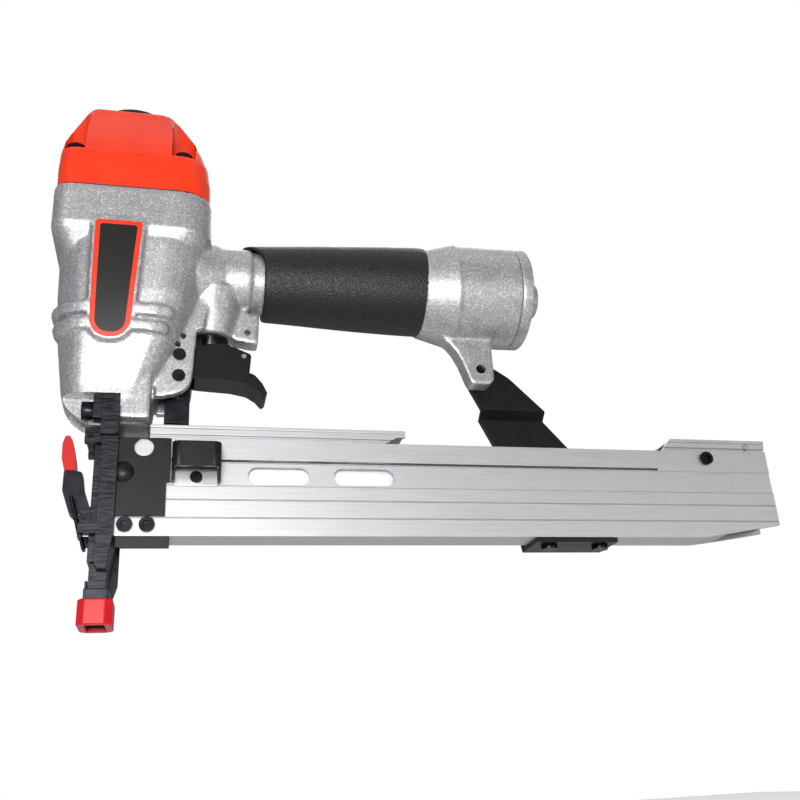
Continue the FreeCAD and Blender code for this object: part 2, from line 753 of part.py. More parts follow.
# ------------------------------------------------------------------ nose
def nose_guide():
    """Driver guide: side bars, lower guide, bolting flange, hooks and hinge knuckles."""
    bars = prism("XZ_Plane", [
        ("-guide_front", "bar_low + 3"), ("0", "bar_low"), ("3.8", "bar_low"),
        ("guide_rear", "mag_floor"), ("guide_rear", "seat_level"), ("-guide_front", "seat_level")],
        "-bar_half", "bar_half")
    lower = box("-guide_front - 2.1", "4", "-door_half", "door_half", "guide_end", "bar_low + 3.5")
    pieces = [bars, lower]
    for side in (-1, 1):
        pieces.append(box("-2", "guide_rear", *span(side, "ear_inner + 1", "bar_half + 3.5"),
                          "seat_level - 4", "seat_level + flange_height"))
        pieces.append(box("-9", "-guide_front", *span(side, "door_half + 0.7", "bar_half"),
                          "mag_floor + 0.3", "mag_floor + 4.5"))
        pieces.append(box("hinge_along - 2.4", "-guide_front", *span(side, "door_half + 0.6", "12.4"),
                          "hinge_level - 3.5", "hinge_level + 3"))
    channel = "blade_half + 0.35"
    return cut(fuse(*pieces),
               box("-guide_front", "blade_thick / 2 + 0.35", f"-({channel})", channel,
                   "bar_low + 3.5", "seat_level + 1"),
               box("-blade_thick / 2 - 0.35", "blade_thick / 2 + 0.35", f"-({channel})", channel,
                   "guide_end - 1", "bar_low + 4"),
               box("0", "guide_rear + 1", "-mag_half + mag_wall + 0.2", "mag_half - mag_wall - 0.2",
                   "mag_floor + 1", "mag_floor + mag_height + 1"),
               rod("y", "hinge_pin_rad", "30", "hinge_along", "-15", "hinge_level"),
               *both(lambda side: rod("x", "bolt_rad", "10", "-3", f"{side} * bolt_side",
                                      "bolt_level")), label="nose_guide")


def nose_clamps():
    """Two clamp plates under the nose bolts' heads."""
    plates = both(lambda side: cut(
        box("-5.9", "-2", *span(side, "bolt_side - 3.4", "bolt_side + 3.4"), "bolt_level - 4.3",
            "seat_level + flange_height"),
        rod("x", "bolt_rad", "8", "-8", f"{side} * bolt_side", "bolt_level")))
    return fuse(*plates, label="nose_clamps")


def nose_bolts():
    """Two socket screws that fasten the nose to the casting."""
    return fuse(*both(lambda side: socket_screw(
        "x", 1, "bolt_head_rad", "5", "bolt_rad", "5.9 + guide_rear + 10.5", "-5.9",
        f"{side} * bolt_side", "bolt_level")), label="nose_bolts")


def nose_door():
    """Front plate that swings open about its top pin and carries the latch."""
    rear = "-guide_front - move_gap"
    plate = box(f"{rear} - door_thick", rear, "-door_half", "door_half", "bar_low + 4.2",
                "hinge_level - 0.5")
    knuckle = rod("y", "2.4", "2 * door_half", "hinge_along", "-door_half", "hinge_level")
    ears = both(lambda side: prism("XZ_Plane", [
        (f"{rear} - door_thick + 0.5", "latch_level - 4.5"), ("latch_along - 1", "latch_level - 3"),
        ("latch_along - 2.8", "latch_level"), ("latch_along - 1", "latch_level + 3"),
        (f"{rear} - door_thick + 0.5", "latch_level + 4.5")], *span(side, "4.2", "6.2")))
    return cut(fuse(plate, knuckle, *ears),
               rod("y", "hinge_pin_rad + run_gap", "20", "hinge_along", "-10", "hinge_level"),
               rod("y", "latch_pin_rad", "20", "latch_along", "-10", "latch_level"),
               label="nose_door")


def door_pin():
    """Hinge pin of the door."""
    item = rod("y", "hinge_pin_rad", "26", "hinge_along", "-13", "hinge_level")
    item.Label = "door_pin"
    return item


def latch_pin():
    """Pivot pin of the latch lever."""
    item = rod("y", "latch_pin_rad", "12.8", "latch_along", "-6.4", "latch_level")
    item.Label = "latch_pin"
    return item


def latch_lever():
    """Cam lever that tightens the wire bail."""
    cam = prism("XZ_Plane", [
        ("-17.5", "69.5"), ("-9.5", "69.5"), ("-8.5", "62"), ("-5.4", "latch_level + 5"),
        ("latch_along + 2.5", "latch_level"), ("latch_along + 1.9", "latch_level - 1.7"),
        ("latch_along", "latch_level - 2.5"), ("latch_along - 2.1", "latch_level - 2"),
        ("-14.2", "50.5"), ("-17.6", "60.5")], "-3.8", "3.8", {"2": [1, 9]})
    return cut(cam,
               rod("y", "latch_pin_rad + run_gap", "20", "latch_along", "-10", "latch_level"),
               rod("y", "bail_rad + run_gap", "20", "bail_along", "-10", "bail_level"),
               label="latch_lever")


def latch_grip():
    """Dipped grip on the latch lever."""
    item = prism("XZ_Plane", [
        ("-17.3", "69.5"), ("-12.2", "69.5"), ("-13", "76"), ("-14.6", "83.6"), ("-16", "86"),
        ("-17.9", "85.6"), ("-18.9", "82"), ("-18.7", "75")], "-5.5", "5.5",
        {"0.9": [4, 5], "1": [3, 6]})
    item.Label = "latch_grip"
    return item


def wire_run(points, radius):
    """Round wire through points: straight runs with a ball at each turn."""
    runs = [Part.makeCylinder(radius, (last - first).Length, first, last - first)
            for first, last in zip(points, points[1:])]
    balls = [Part.makeSphere(radius, point) for point in points[1:-1]]
    return runs[0].multiFuse(runs[1:] + balls).removeSplitter()


def latch_bail():
    """Wire bail between the lever and the hooks under the magazine's nose."""
    half = read("bail_half")
    radius = read("bail_rad")
    foot = read("bar_half") - 1.5
    top = Vector(read("bail_along"), 0, read("bail_level"))
    low = Vector(-8, 0, read("mag_floor") + 0.3 - radius - read("move_gap"))
    across = Vector(0, 1, 0)
    points = [low - across * foot, low - across * half, top - across * half,
              top + across * half, low + across * half, low + across * foot]
    item = doc.addObject("Part::Feature", "latch_bail")
    item.Shape = wire_run(points, radius)
    item.Placement = FreeCAD.Placement()
    return item


# ------------------------------------------------------------------ contact arm
def contact_arm_lower():
    """Shoe round the lower guide and the link that climbs the far side."""
    far = "arm_side + arm_plate"
    shoe = box("-shoe_front", "shoe_rear", "-shoe_half", "shoe_half", "2", "bar_low - 7.5")
    front = box("-shoe_front", "-3.9", "-6", "6", "2", "bar_low - 3.5")
    bridge = box("-3.9", "shoe_rear - 1", "shoe_half - 0.5", far, "tip_height + 0.3",
                 "bar_low - 7.5")
    link = prism("XZ_Plane", [
        ("-3.9", "tip_height + 0.3"), ("shoe_rear - 1", "tip_height + 0.3"), ("7.5", "bar_low - 2"),
        ("7.5", "mag_floor + 2.5"), ("34", "mag_floor + 2.5"), ("34", "mag_floor + 12.5"),
        ("-3.9", "mag_floor + 12.5")], "arm_side", far)
    cavity = box("-3.9", "shoe_rear - 1", "-door_half - 0.4", "door_half + 0.4", "1", "bar_low")
    return cut(fuse(shoe, front, bridge, link), cavity, label="contact_arm_lower")


def contact_arm_upper():
    """Strap over the magazine that ends as a fork under the trigger."""
    far = "arm_side + arm_plate"
    cross_low = "mag_floor + mag_height + rail_rise + 2.5"
    strap = box("24", "34", "arm_side", far, "mag_floor + 12.5", f"{cross_low} + 2")
    cross = box("arm_start", "arm_end", "-6", far, cross_low, f"{cross_low} + 2")
    plates = both(lambda side: box("arm_start", "arm_end", *span(side, "4", "6"), cross_low,
                                   "guide_pin_level + 5"))
    slot = box("pivot_along - ear_pin_rad - 0.4", "pivot_along + ear_pin_rad + 0.4", "-7", "7",
               "guide_pin_level - ear_pin_rad - arm_travel - 0.4", "guide_pin_level + 6")
    return cut(fuse(strap, cross, *plates), slot, label="contact_arm_upper")


def arm_spring():
    """Spring that keeps the contact arm down."""
    low = "mag_floor + mag_height + rail_rise + 4.6"
    return coil("arm_spring", "2.8", "0.45", "5",
                f"guide_pin_level - ear_pin_rad - 0.1 - ({low})", "pivot_along", low)


def no_mar_tip():
    """Soft tip pushed over the shoe."""
    outer = prism("XY_Plane", octagon("-shoe_front - 2.2", "shoe_rear + 2", "shoe_half + 2", "3"),
                  "0", "tip_height")
    socket = box("-shoe_front", "shoe_rear", "-shoe_half", "shoe_half", "2", "tip_height + 1")
    mouth = box("-3.9", "shoe_rear - 1", "-door_half - 0.4", "door_half + 0.4", "-1", "3")
    return cut(outer, socket, mouth, label="no_mar_tip")


# ------------------------------------------------------------------ magazine
def obround(start, end, y_low, y_high, z_low, z_high):
    """A slot with round ends, cut along Y."""
    radius = f"(({z_high}) - ({z_low})) / 2"
    middle = f"(({z_high}) + ({z_low})) / 2"
    depth = f"({y_high}) - ({y_low})"
    return fuse(box(f"{start} + {radius}", f"{end} - {radius}", y_low, y_high, z_low, z_high),
                rod("y", radius, depth, f"{start} + {radius}", y_low, middle),
                rod("y", radius, depth, f"{end} - {radius}", y_low, middle))


def magazine_body():
    """U-shaped extrusion with grooved walls, windows and a slot for the pusher."""
    top = "mag_floor + mag_height"
    near = [("-mag_half", "mag_floor")]
    for groove in ("groove_low", "groove_high"):
        near += [("-mag_half", f"{groove} - 0.4"), ("-mag_half + 0.5", groove),
                 ("-mag_half", f"{groove} + 0.4")]
    near += [("-mag_half", "band_low - 0.5"), ("-mag_half + 0.5", "band_low"),
             ("-mag_half + 0.5", "band_high"), ("-mag_half", "band_high + 0.3"), ("-mag_half", top),
             ("-mag_half + mag_wall", top), ("-mag_half + mag_wall", "mag_floor + 2")]
    far = [(f"-({across})", level) for across, level in reversed(near[1:])]
    far += [("mag_half", "min(mag_floor + 3; groove_low - 0.6)"), ("mag_half - 3", "mag_floor")]
    end = "mag_start + mag_length"
    profile = prism("YZ_Plane", near + far, "mag_start", end)
    wall = ("-mag_half - 1", "-mag_half + mag_wall + 0.5")
    windows = [obround(start, stop, *wall, "band_low + 0.8", "band_high - 1.4")
               for start, stop in (("mag_start + 57.8", "mag_start + 86.5"),
                                   ("mag_start + 97.8", "mag_start + 127.2"))]
    windows.append(obround(f"{end} - 48", f"{end} - 22.2", "-mag_half - 1", "-mag_half + 0.9",
                           "band_low + 1.2", "band_high - 1"))
    slot = box("pusher_start + 15", "pusher_start + pusher_length + pusher_travel + 2", *wall,
               "slot_level", "slot_level + slot_height")
    tail = prism("XZ_Plane", [(f"{end} - tail_length", "mag_floor - 1"), (f"{end} + 1", "mag_floor - 1"),
                              (f"{end} + 1", "mag_floor + 6.8")], "-20", "20")
    holes = [rod("y", "1.9", "40", along, "-20", "mag_floor + plate_screw_rise")
             for along in ("plate_screw_front", "plate_screw_rear")]
    holes.append(rod("y", "2", "40", f"{end} - rear_screw_back", "-20", f"{top} - 4"))
    holes += [rod("z", "2", "6", along, "-3", "mag_floor - 2")
              for along in ("foot_screw_front", "foot_screw_rear")]
    return cut(profile, *windows, slot, tail, *holes, label="magazine_body")


def staple_rail():
    """Inner rail that the fasteners straddle."""
    block = box("mag_start + 1.5", "mag_start + mag_length - tail_length - 1", "-rail_half", "rail_half",
                "mag_floor + 2", "mag_floor + mag_height - 2")
    hollow = box("mag_start", "mag_start + mag_length", "-rail_half + 1.5", "rail_half - 1.5",
                 "mag_floor + 1", "mag_floor + mag_height - 3.5")
    return cut(block, hollow, label="staple_rail")


def top_rail(label, start, end, tool):
    """A length of the magazine's roof; the tool trims its free end."""
    base = "mag_floor + mag_height"
    inner = "mag_half - mag_wall"
    half = [("mag_half", base), ("mag_half", f"{base} + 1"), ("mag_half - 1", f"{base} + 1.2"),
            ("mag_half - 1", f"{base} + 2"), ("mag_half", f"{base} + 2.2"),
            ("mag_half", f"{base} + rail_rise - 1.7"),
            ("mag_half + 0.6", f"{base} + rail_rise - 1.3"),
            ("mag_half + 0.6", f"{base} + rail_rise"), ("0", f"{base} + rail_rise"),
            ("0", f"{base} + rail_rise - 1.8"), (inner, f"{base} + rail_rise - 1.8"), (inner, base)]
    whole = [prism("YZ_Plane", half, start, end),
             prism("YZ_Plane", [(f"-({across})", level) for across, level in half], start, end)]
    return cut(fuse(*whole), tool, label=label)


def magazine_rails():
    """Front and rear roof of the magazine; the gap between them is the loading mouth."""
    base = "mag_floor + mag_height"
    end = "mag_start + mag_length"
    notch = prism("XZ_Plane", [
        ("front_rail_end - 10", base), ("front_rail_end - 4", f"{base} + 3.4"),
        ("front_rail_end + 1", f"{base} + 3.4"), ("front_rail_end + 1", base)], "-20", "20")
    slope = prism("XZ_Plane", [
        ("rear_rail_start", base), ("rear_rail_start + 6", f"{base} + rail_rise + 1"),
        ("rear_rail_start - 1", f"{base} + rail_rise + 1"), ("rear_rail_start - 1", base)], "-20", "20")
    front = top_rail("front_rail", "rail_start", "front_rail_end", notch)
    rear = top_rail("rear_rail_blank", "rear_rail_start", end, slope)
    hole = rod("y", "1.5", "40", f"{end} - stop_pin_back", "-20", "mag_floor + mag_height + 3")
    return [front, cut(rear, hole, label="rear_rail")]


def rail_stop_pin():
    """Cross pin through the rear roof."""
    item = rod("y", "1.5", "2 * mag_half + 0.8", "mag_start + mag_length - stop_pin_back",
               "-mag_half - 0.4", "mag_floor + mag_height + 3")
    item.Label = "rail_stop_pin"
    return item


def rear_block():
    """Filler block that closes the magazine's rear end."""
    end = "mag_start + mag_length"
    inner = "mag_half - mag_wall"
    block = box(f"{end} - tail_length", f"{end} - 3", f"-({inner})", inner, "mag_floor + 2",
                "mag_floor + mag_height")
    slope = prism("XZ_Plane", [
        (f"{end} - tail_length - 1", "mag_floor + 1"), (f"{end} + 1", "mag_floor + 1"),
        (f"{end} + 1", "mag_floor + 8.8")], "-20", "20")
    return cut(block, slope, rod("y", "2", "40", f"{end} - rear_screw_back", "-20",
                                 "mag_floor + mag_height - 4"), label="rear_block")


def rear_screws():
    """Button screws, one each side, into the filler block."""
    along = "mag_start + mag_length - rear_screw_back"
    level = "mag_floor + mag_height - 4"
    return fuse(*both(lambda side: socket_screw("y", -side, "3.4", "2.2", "2", "8", along,
                                                f"{side} * mag_half", level)), label="rear_screws")


def side_plate(label, side):
    """Cheek plate that ties nose and magazine together."""
    plate = prism("XZ_Plane", [
        ("guide_rear + 0.1", "mag_floor + 8.8"), ("27.4", "mag_floor + 8.8"), ("27.4", "band_low + 0.6"),
        ("29", "band_low + 0.6"), ("29", "mag_floor + mag_height - 0.4"),
        ("guide_rear + 0.1", "mag_floor + mag_height - 0.4")],
        *span(side, "mag_half", "mag_half + sheet"))
    ball = doc.addObject("Part::Sphere", "Ball")
    bind(ball, "Radius", "bump_ball")
    put(ball, "z", "8.4", f"{side} * (mag_half + sheet + bump_rise - bump_ball)", "band_low + 5")
    bump = common(ball, box("guide_rear + 0.1", "20",
                            *span(side, "mag_half + sheet - 0.2", "mag_half + sheet + 4"),
                            "band_low - 5", "band_low + 15"))
    hole = rod("y", "4.3", "8", "17", "mag_half - 2" if side > 0 else "-mag_half - 6",
               "mag_floor + mag_height - 5")
    return cut(fuse(plate, bump), hole, label=label)


def magazine_screws():
    """Socket screws at the magazine's front, two on each side."""
    return fuse(*[socket_screw("y", -side, "3.4", "2.6", "1.9", "mag_wall", along,
                               f"{side} * mag_half", "mag_floor + plate_screw_rise")
                  for side in (-1, 1) for along in ("plate_screw_front", "plate_screw_rear")],
                label="magazine_screws")


def wing_plate():
    """Folded plate under the magazine's front end."""
    flat = box("guide_rear + 0.6", "29.5", "-mag_half", "mag_half - 3", "mag_floor - sheet", "mag_floor")
    lip = box("guide_rear + 0.6", "29.5", "-mag_half", "-mag_half + sheet", "mag_floor - 5",
              "mag_floor")
    return fuse(flat, lip, label="wing_plate")


# ------------------------------------------------------------------ pusher
def pusher_shoe():
    """Follower that straddles the rail, with a tongue through the wall's slot."""
    end = "pusher_start + pusher_length"
    top = "mag_floor + mag_height + 0.2"
    outer = "mag_half - mag_wall - 0.4"
    block = box("pusher_start", end, f"-({outer})", outer, "mag_floor + 12", top)
    hollow = box("pusher_start - 1", f"{end} + 1", "-rail_half - 0.4", "rail_half + 0.4",
                 "mag_floor + 11", "mag_floor + mag_height - 1.6")
    tongue = box("pusher_start + 18", end, "-mag_half - 0.4", f"-({outer}) + 1",
                 "slot_level + 0.3", "slot_level + slot_height - 0.3")
    post = rod("z", "1.5", "4", "pusher_start + 26", "0", "mag_floor + mag_height")
    return fuse(cut(block, hollow), tongue, post, label="pusher_shoe")


def pusher_spring():
    """Rolled constant-force spring on the follower's post."""
    return ring("z", "6.2", "1.5", "3.6", "pusher_start + 26", "0",
                "mag_floor + mag_height + 0.4", label="pusher_spring")


def pusher_plate():
    """Bright plate on the outside of the wall."""
    plate = box("pusher_start + 16.5", "pusher_start + 36", "-mag_half - 1.6", "-mag_half - 0.4",
                "band_low - 1", "slot_level + 5.4")
    return cut(plate, rod("y", "1.4", "5", "pusher_start + 26.4", "-mag_half - 3",
                          "band_low + 2.8"),
               label="pusher_plate")


def pusher_screw():
    """Screw of the pusher's plate."""
    head = rod("y", "2.8", "1.6", "pusher_start + 26.4", "-mag_half - 3.2", "band_low + 2.8")
    shank = rod("y", "1.4", "1.2", "pusher_start + 26.4", "-mag_half - 1.6", "band_low + 2.8")
    return fuse(head, shank, label="pusher_screw")


def pusher_tab():
    """Strap that the thumb pulls back."""
    front = "pusher_start + 15.5"
    rear = "pusher_start + 37.3"
    outline = [(front, "-mag_half - 1.6"), (front, "-mag_half - 12"), (rear, "-mag_half - 12"),
               (rear, "-mag_half - 1.6"), (f"{rear} - 1.5", "-mag_half - 1.6"),
               (f"{rear} - 1.5", "-mag_half - 10.5"), (f"{front} + 1.5", "-mag_half - 10.5"),
               (f"{front} + 1.5", "-mag_half - 1.6")]
    strap = prism("XY_Plane", outline, "band_low + 5", "slot_level + 5.9",
                  {"3.5": [1, 2], "2": [5, 6]})
    sides = [box(low, high, "-mag_half - 5.5", "-mag_half - 1.6", "band_low + 0.4", "band_low + 6")
             for low, high in ((front, f"{front} + 1.5"), (f"{rear} - 1.5", rear))]
    return fuse(strap, *sides, label="pusher_tab")


# ------------------------------------------------------------------ support bracket
def support_bracket():
    """Bent steel strap from the handle's lug down and under the magazine."""
    upper = prism("XZ_Plane", [
        ("lug_hole_along - 4.3", "lug_hole_level - 6.5"), ("lug_hole_along + 1.5", "jog_high"),
        ("lug_hole_along + 37", "jog_high"), ("lug_hole_along + 18.3", "lug_hole_level + 0.4"),
        ("lug_hole_along + 11", "lug_hole_level + 5"), ("lug_hole_along + 5", "lug_hole_level + 7"),
        ("lug_hole_along - 4", "lug_hole_level + 6")],
        "lug_half", "lug_half + bracket_thick", {"20": [3], "4": [5, 6]})
    inner = "mag_half"
    outer = "mag_half + bracket_thick"
    lower = prism("XZ_Plane", [
        ("foot_start", "mag_floor - bracket_thick"),
        ("foot_start + foot_length", "mag_floor - bracket_thick"),
        ("foot_start + foot_length", "mag_floor + 6"), ("lug_hole_along + 51.6", "knee_level"),
        ("lug_hole_along + 37", "jog_low"), ("lug_hole_along + 1.5", "jog_low"),
        ("lug_hole_along + 9.6", "knee_level")], inner, outer)
    jog = prism("YZ_Plane", [
        ("lug_half", "jog_high"), ("lug_half + bracket_thick", "jog_high"), (outer, "jog_low"),
        (inner, "jog_low")], "lug_hole_along + 1.5", "lug_hole_along + 37")
    foot = box("foot_start", "foot_start + foot_length", "-mag_half", outer,
               "mag_floor - bracket_thick", "mag_floor")
    holes = [rod("z", "2", "8", along, "-3", "mag_floor - 6")
             for along in ("foot_screw_front", "foot_screw_rear")]
    holes.append(rod("y", "bolt_rad + 0.1", "10", "lug_hole_along", "lug_half - 1",
                     "lug_hole_level"))
    return cut(fuse(upper, jog, lower, foot), *holes, label="support_bracket")


def bracket_screw():
    """Screw through the strap into the lug."""
    head = rod("y", "4.2", "3", "lug_hole_along", "lug_half + bracket_thick", "lug_hole_level")
    shank = rod("y", "bolt_rad + 0.1", "lug_half + bracket_thick + 3", "lug_hole_along", "-3",
                "lug_hole_level")
    return fuse(head, shank, label="bracket_screw")


def foot_screws():
    """Two round-headed screws up into the magazine's floor."""
    screws = []
    for along in ("foot_screw_front", "foot_screw_rear"):
        screws.append(rod("z", "4", "2.2", along, "-3", "mag_floor - bracket_thick - 2.2"))
        screws.append(rod("z", "2", "bracket_thick + 2", along, "-3", "mag_floor - bracket_thick"))
    return fuse(*screws, label="foot_screws")


# ------------------------------------------------------------------ build
sub_parts = [
    body_casting(), *badges(), head_cap(), cap_gasket(), cap_screws(), exhaust_deflector(),
    deflector_screw(), head_valve(), head_valve_ring(), head_valve_spring(), cylinder_sleeve(),
    piston(), piston_ring(), driver_blade(), bumper(), grip_sleeve(), rear_end_cap(),
    trigger_valve_body(), valve_rings(), valve_retainer(), valve_stem(), stem_spring(), trigger(),
    ear_pins(), trigger_lever(), lever_pin(), nose_guide(), nose_clamps(), nose_bolts(),
    nose_door(), door_pin(), latch_pin(), latch_lever(), latch_grip(), latch_bail(),
    contact_arm_lower(), contact_arm_upper(), arm_spring(), no_mar_tip(), magazine_body(),
    staple_rail(), *magazine_rails(), rail_stop_pin(), rear_block(), rear_screws(),
    side_plate("side_plate_near", -1), side_plate("side_plate_far", 1), magazine_screws(),
    wing_plate(), pusher_shoe(), pusher_spring(), pusher_plate(), pusher_screw(), pusher_tab(),
    support_bracket(), bracket_screw(), foot_screws(),
]
doc.recompute()

faults = [f"{item.Label}: {item.State}" for item in doc.Objects
          if "Invalid" in item.State or "Error" in item.State]
faults += [f"{item.Label}: bad shape" for item in sub_parts
           if item.Shape.isNull() or not item.Shape.isValid() or not item.Shape.Solids]
if faults:
    raise RuntimeError("; ".join(faults))

for item in sub_parts:
    item.Shape.exportStep(f"parts/{item.Label}.step")
print(len(sub_parts), "sub-parts written")
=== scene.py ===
"""Looks of the pneumatic nail gun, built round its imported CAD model."""
import bmesh
import bpy
import json
import math
from mathutils import Matrix, Vector


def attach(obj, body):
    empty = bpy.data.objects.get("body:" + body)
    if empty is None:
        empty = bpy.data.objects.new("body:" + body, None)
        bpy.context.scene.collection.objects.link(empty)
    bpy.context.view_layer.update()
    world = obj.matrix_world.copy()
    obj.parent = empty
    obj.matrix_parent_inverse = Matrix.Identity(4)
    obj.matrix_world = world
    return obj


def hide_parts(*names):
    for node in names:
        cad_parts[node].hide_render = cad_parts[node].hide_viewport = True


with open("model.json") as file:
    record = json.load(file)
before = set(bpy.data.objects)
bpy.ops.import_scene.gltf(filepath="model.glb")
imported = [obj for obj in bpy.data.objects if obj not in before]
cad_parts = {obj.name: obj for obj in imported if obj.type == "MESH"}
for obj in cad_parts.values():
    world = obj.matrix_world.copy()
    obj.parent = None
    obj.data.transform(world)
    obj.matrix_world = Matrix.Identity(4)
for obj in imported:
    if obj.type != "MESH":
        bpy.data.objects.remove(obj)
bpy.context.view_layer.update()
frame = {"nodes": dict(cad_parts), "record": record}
MM = 0.001


# ------------------------------------------------------------------ small helpers
def linear(hex_code):
    """An sRGB hex colour as linear RGBA."""
    parts = [int(hex_code[start:start + 2], 16) / 255 for start in (1, 3, 5)]
    return [part / 12.92 if part <= 0.04045 else ((part + 0.055) / 1.055) ** 2.4
            for part in parts] + [1.0]


def add(tree, kind, links=None, **settings):
    """Add a node; settings name properties or sockets, links map sockets to outputs."""
    node = tree.nodes.new(kind)
    for name, value in settings.items():
        if hasattr(node, name):
            setattr(node, name, value)
        else:
            node.inputs[name.replace("_", " ")].default_value = value
    for name, output in (links or {}).items():
        tree.links.new(output, node.inputs[name])
    return node


def begin(name, base, rough, metal=0.0, **sockets):
    """A material with its Principled shader; returns material, tree, shader and coordinates."""
    made = bpy.data.materials.new(name)
    made.use_nodes = True
    tree = made.node_tree
    shader = tree.nodes["Principled BSDF"]
    shader.inputs["Base Color"].default_value = linear(base)
    shader.inputs["Roughness"].default_value = rough
    shader.inputs["Metallic"].default_value = metal
    for socket, value in sockets.items():
        shader.inputs[socket.replace("_", " ")].default_value = value
    place = add(tree, "ShaderNodeTexCoord").outputs["Object"]
    return made, tree, shader, place


def per_mm(size):
    """Texture scale that makes one cell this many millimetres."""
    return 1.0 / (size * MM)


def noise(tree, place, size, detail=4.0):
    """Noise with cells of a real size in millimetres."""
    return add(tree, "ShaderNodeTexNoise", {"Vector": place}, Scale=per_mm(size), Detail=detail,
               Roughness=0.55).outputs["Fac"]


def ramp(tree, factor, low, high, first, second):
    """Map a factor between two stops to two colours."""
    node = add(tree, "ShaderNodeValToRGB", {"Fac": factor})
    node.color_ramp.elements[0].position = low
    node.color_ramp.elements[1].position = high
    node.color_ramp.elements[0].color = linear(first)
    node.color_ramp.elements[1].color = linear(second)
    return node.outputs["Color"]


def stretch(tree, factor, low, high):
    """Map a factor from 0..1 to low..high."""
    return add(tree, "ShaderNodeMapRange", {"Value": factor}, To_Min=low,
               To_Max=high).outputs["Result"]


def relief(tree, shader, height, depth, under=None):
    """Raise the surface by a height pattern, depth in millimetres."""
    links = {"Height": height}
    if under:
        links["Normal"] = under
    bump = add(tree, "ShaderNodeBump", links, Distance=depth * MM, Strength=1.0)
    tree.links.new(bump.outputs["Normal"], shader.inputs["Normal"])
    return bump.outputs["Normal"]


# ------------------------------------------------------------------ materials
def silver_paint(name="hammer_silver_paint", grain=1.0):
    """Metallic paint over die-cast aluminium: bright flakes in a grey coat, slight orange peel."""
    made, tree, shader, place = begin(name, "#a4a2a5", 0.42, 0.7)
    flake = add(tree, "ShaderNodeTexVoronoi", {"Vector": place}, Scale=per_mm(0.5),
                feature="F1")
    sparkle = add(tree, "ShaderNodeSeparateColor", {"Color": flake.outputs["Color"]})
    glint = ramp(tree, sparkle.outputs["Red"], 0.6, 1.0, "#a19fa2", "#d2d1d4")
    cloud = ramp(tree, noise(tree, place, 9.0), 0.3, 0.7, "#ececeb", "#ffffff")
    both = add(tree, "ShaderNodeMix", {"A": glint, "B": cloud}, data_type="RGBA",
               blend_type="MULTIPLY", Factor=1.0)
    tree.links.new(both.outputs[2], shader.inputs["Base Color"])
    tree.links.new(stretch(tree, sparkle.outputs["Green"], 0.32, 0.52), shader.inputs["Roughness"])
    peel = relief(tree, shader, noise(tree, place, 1.6 * grain, 2.0), 0.045 * grain)
    relief(tree, shader, sparkle.outputs["Blue"], 0.012, peel)
    return made


def simple_metal(name, base, rough, metal, grit, depth, dark=None, light=None):
    """A metal or coated steel with a fine grit and slow colour change."""
    made, tree, shader, place = begin(name, base, rough, metal,
                                      Specular_IOR_Level=0.5 if metal else 0.25)
    slow = noise(tree, place, 7.0)
    fine = noise(tree, place, grit, 3.0)
    if dark:
        tree.links.new(ramp(tree, slow, 0.3, 0.7, dark, light), shader.inputs["Base Color"])
    tree.links.new(stretch(tree, fine, rough * 0.8, min(1.0, rough * 1.25)),
                   shader.inputs["Roughness"])
    relief(tree, shader, fine, depth)
    return made


def gloss_paint():
    """Orange-red gloss enamel: clear, slightly wavy."""
    made, tree, shader, place = begin("orange_gloss_enamel", "#d22c05", 0.36, 0.0,
                                      Coat_Weight=0.2, Coat_Roughness=0.14,
                                      Specular_IOR_Level=0.3)
    tone = ramp(tree, noise(tree, place, 14.0), 0.3, 0.7, "#cb2a04", "#d83008")
    tree.links.new(tone, shader.inputs["Base Color"])
    relief(tree, shader, noise(tree, place, 2.2, 2.0), 0.02)
    return made


def pebbled_rubber():
    """Moulded rubber with a leather-like pebble, with painted shade darkening the grooves between
    pebbles.
    """
    made, tree, shader, place = begin("pebbled_grip_rubber", "#0d0c0f", 0.5, 0.0,
                                      Specular_IOR_Level=0.4)
    wobble = add(tree, "ShaderNodeTexNoise", {"Vector": place}, Scale=per_mm(2.5), Detail=2.0)
    moved = add(tree, "ShaderNodeMix", {"A": place, "B": wobble.outputs["Color"]},
                data_type="VECTOR", Factor=0.0015)
    cell = add(tree, "ShaderNodeTexVoronoi", {"Vector": moved.outputs[1]}, Scale=per_mm(1.5),
               feature="DISTANCE_TO_EDGE")
    bead = stretch(tree, cell.outputs["Distance"], 0.0, 2.2)
    # painted shade: the base colour darkens towards the cell edges, the grooves between the pebbles
    tree.links.new(ramp(tree, cell.outputs["Distance"], 0.02, 0.22, "#050506", "#121115"),
                   shader.inputs["Base Color"])
    tree.links.new(stretch(tree, noise(tree, place, 3.0), 0.38, 0.6), shader.inputs["Roughness"])
    relief(tree, shader, bead, 0.16)
    return made


def extruded_aluminium():
    """Satin anodised extrusion: fine lines drawn along its length."""
    made, tree, shader, place = begin("anodised_extrusion", "#b0aeb1", 0.46, 0.72)
    along = add(tree, "ShaderNodeMapping", {"Vector": place}, Scale=(0.02, 1.0, 1.0))
    lines = add(tree, "ShaderNodeTexNoise", {"Vector": along.outputs["Vector"]},
                Scale=per_mm(0.35), Detail=3.0).outputs["Fac"]
    tree.links.new(ramp(tree, lines, 0.25, 0.8, "#a8a6a9", "#b9b7ba"), shader.inputs["Base Color"])
    tree.links.new(stretch(tree, lines, 0.4, 0.52), shader.inputs["Roughness"])
    relief(tree, shader, lines, 0.006)
    return made


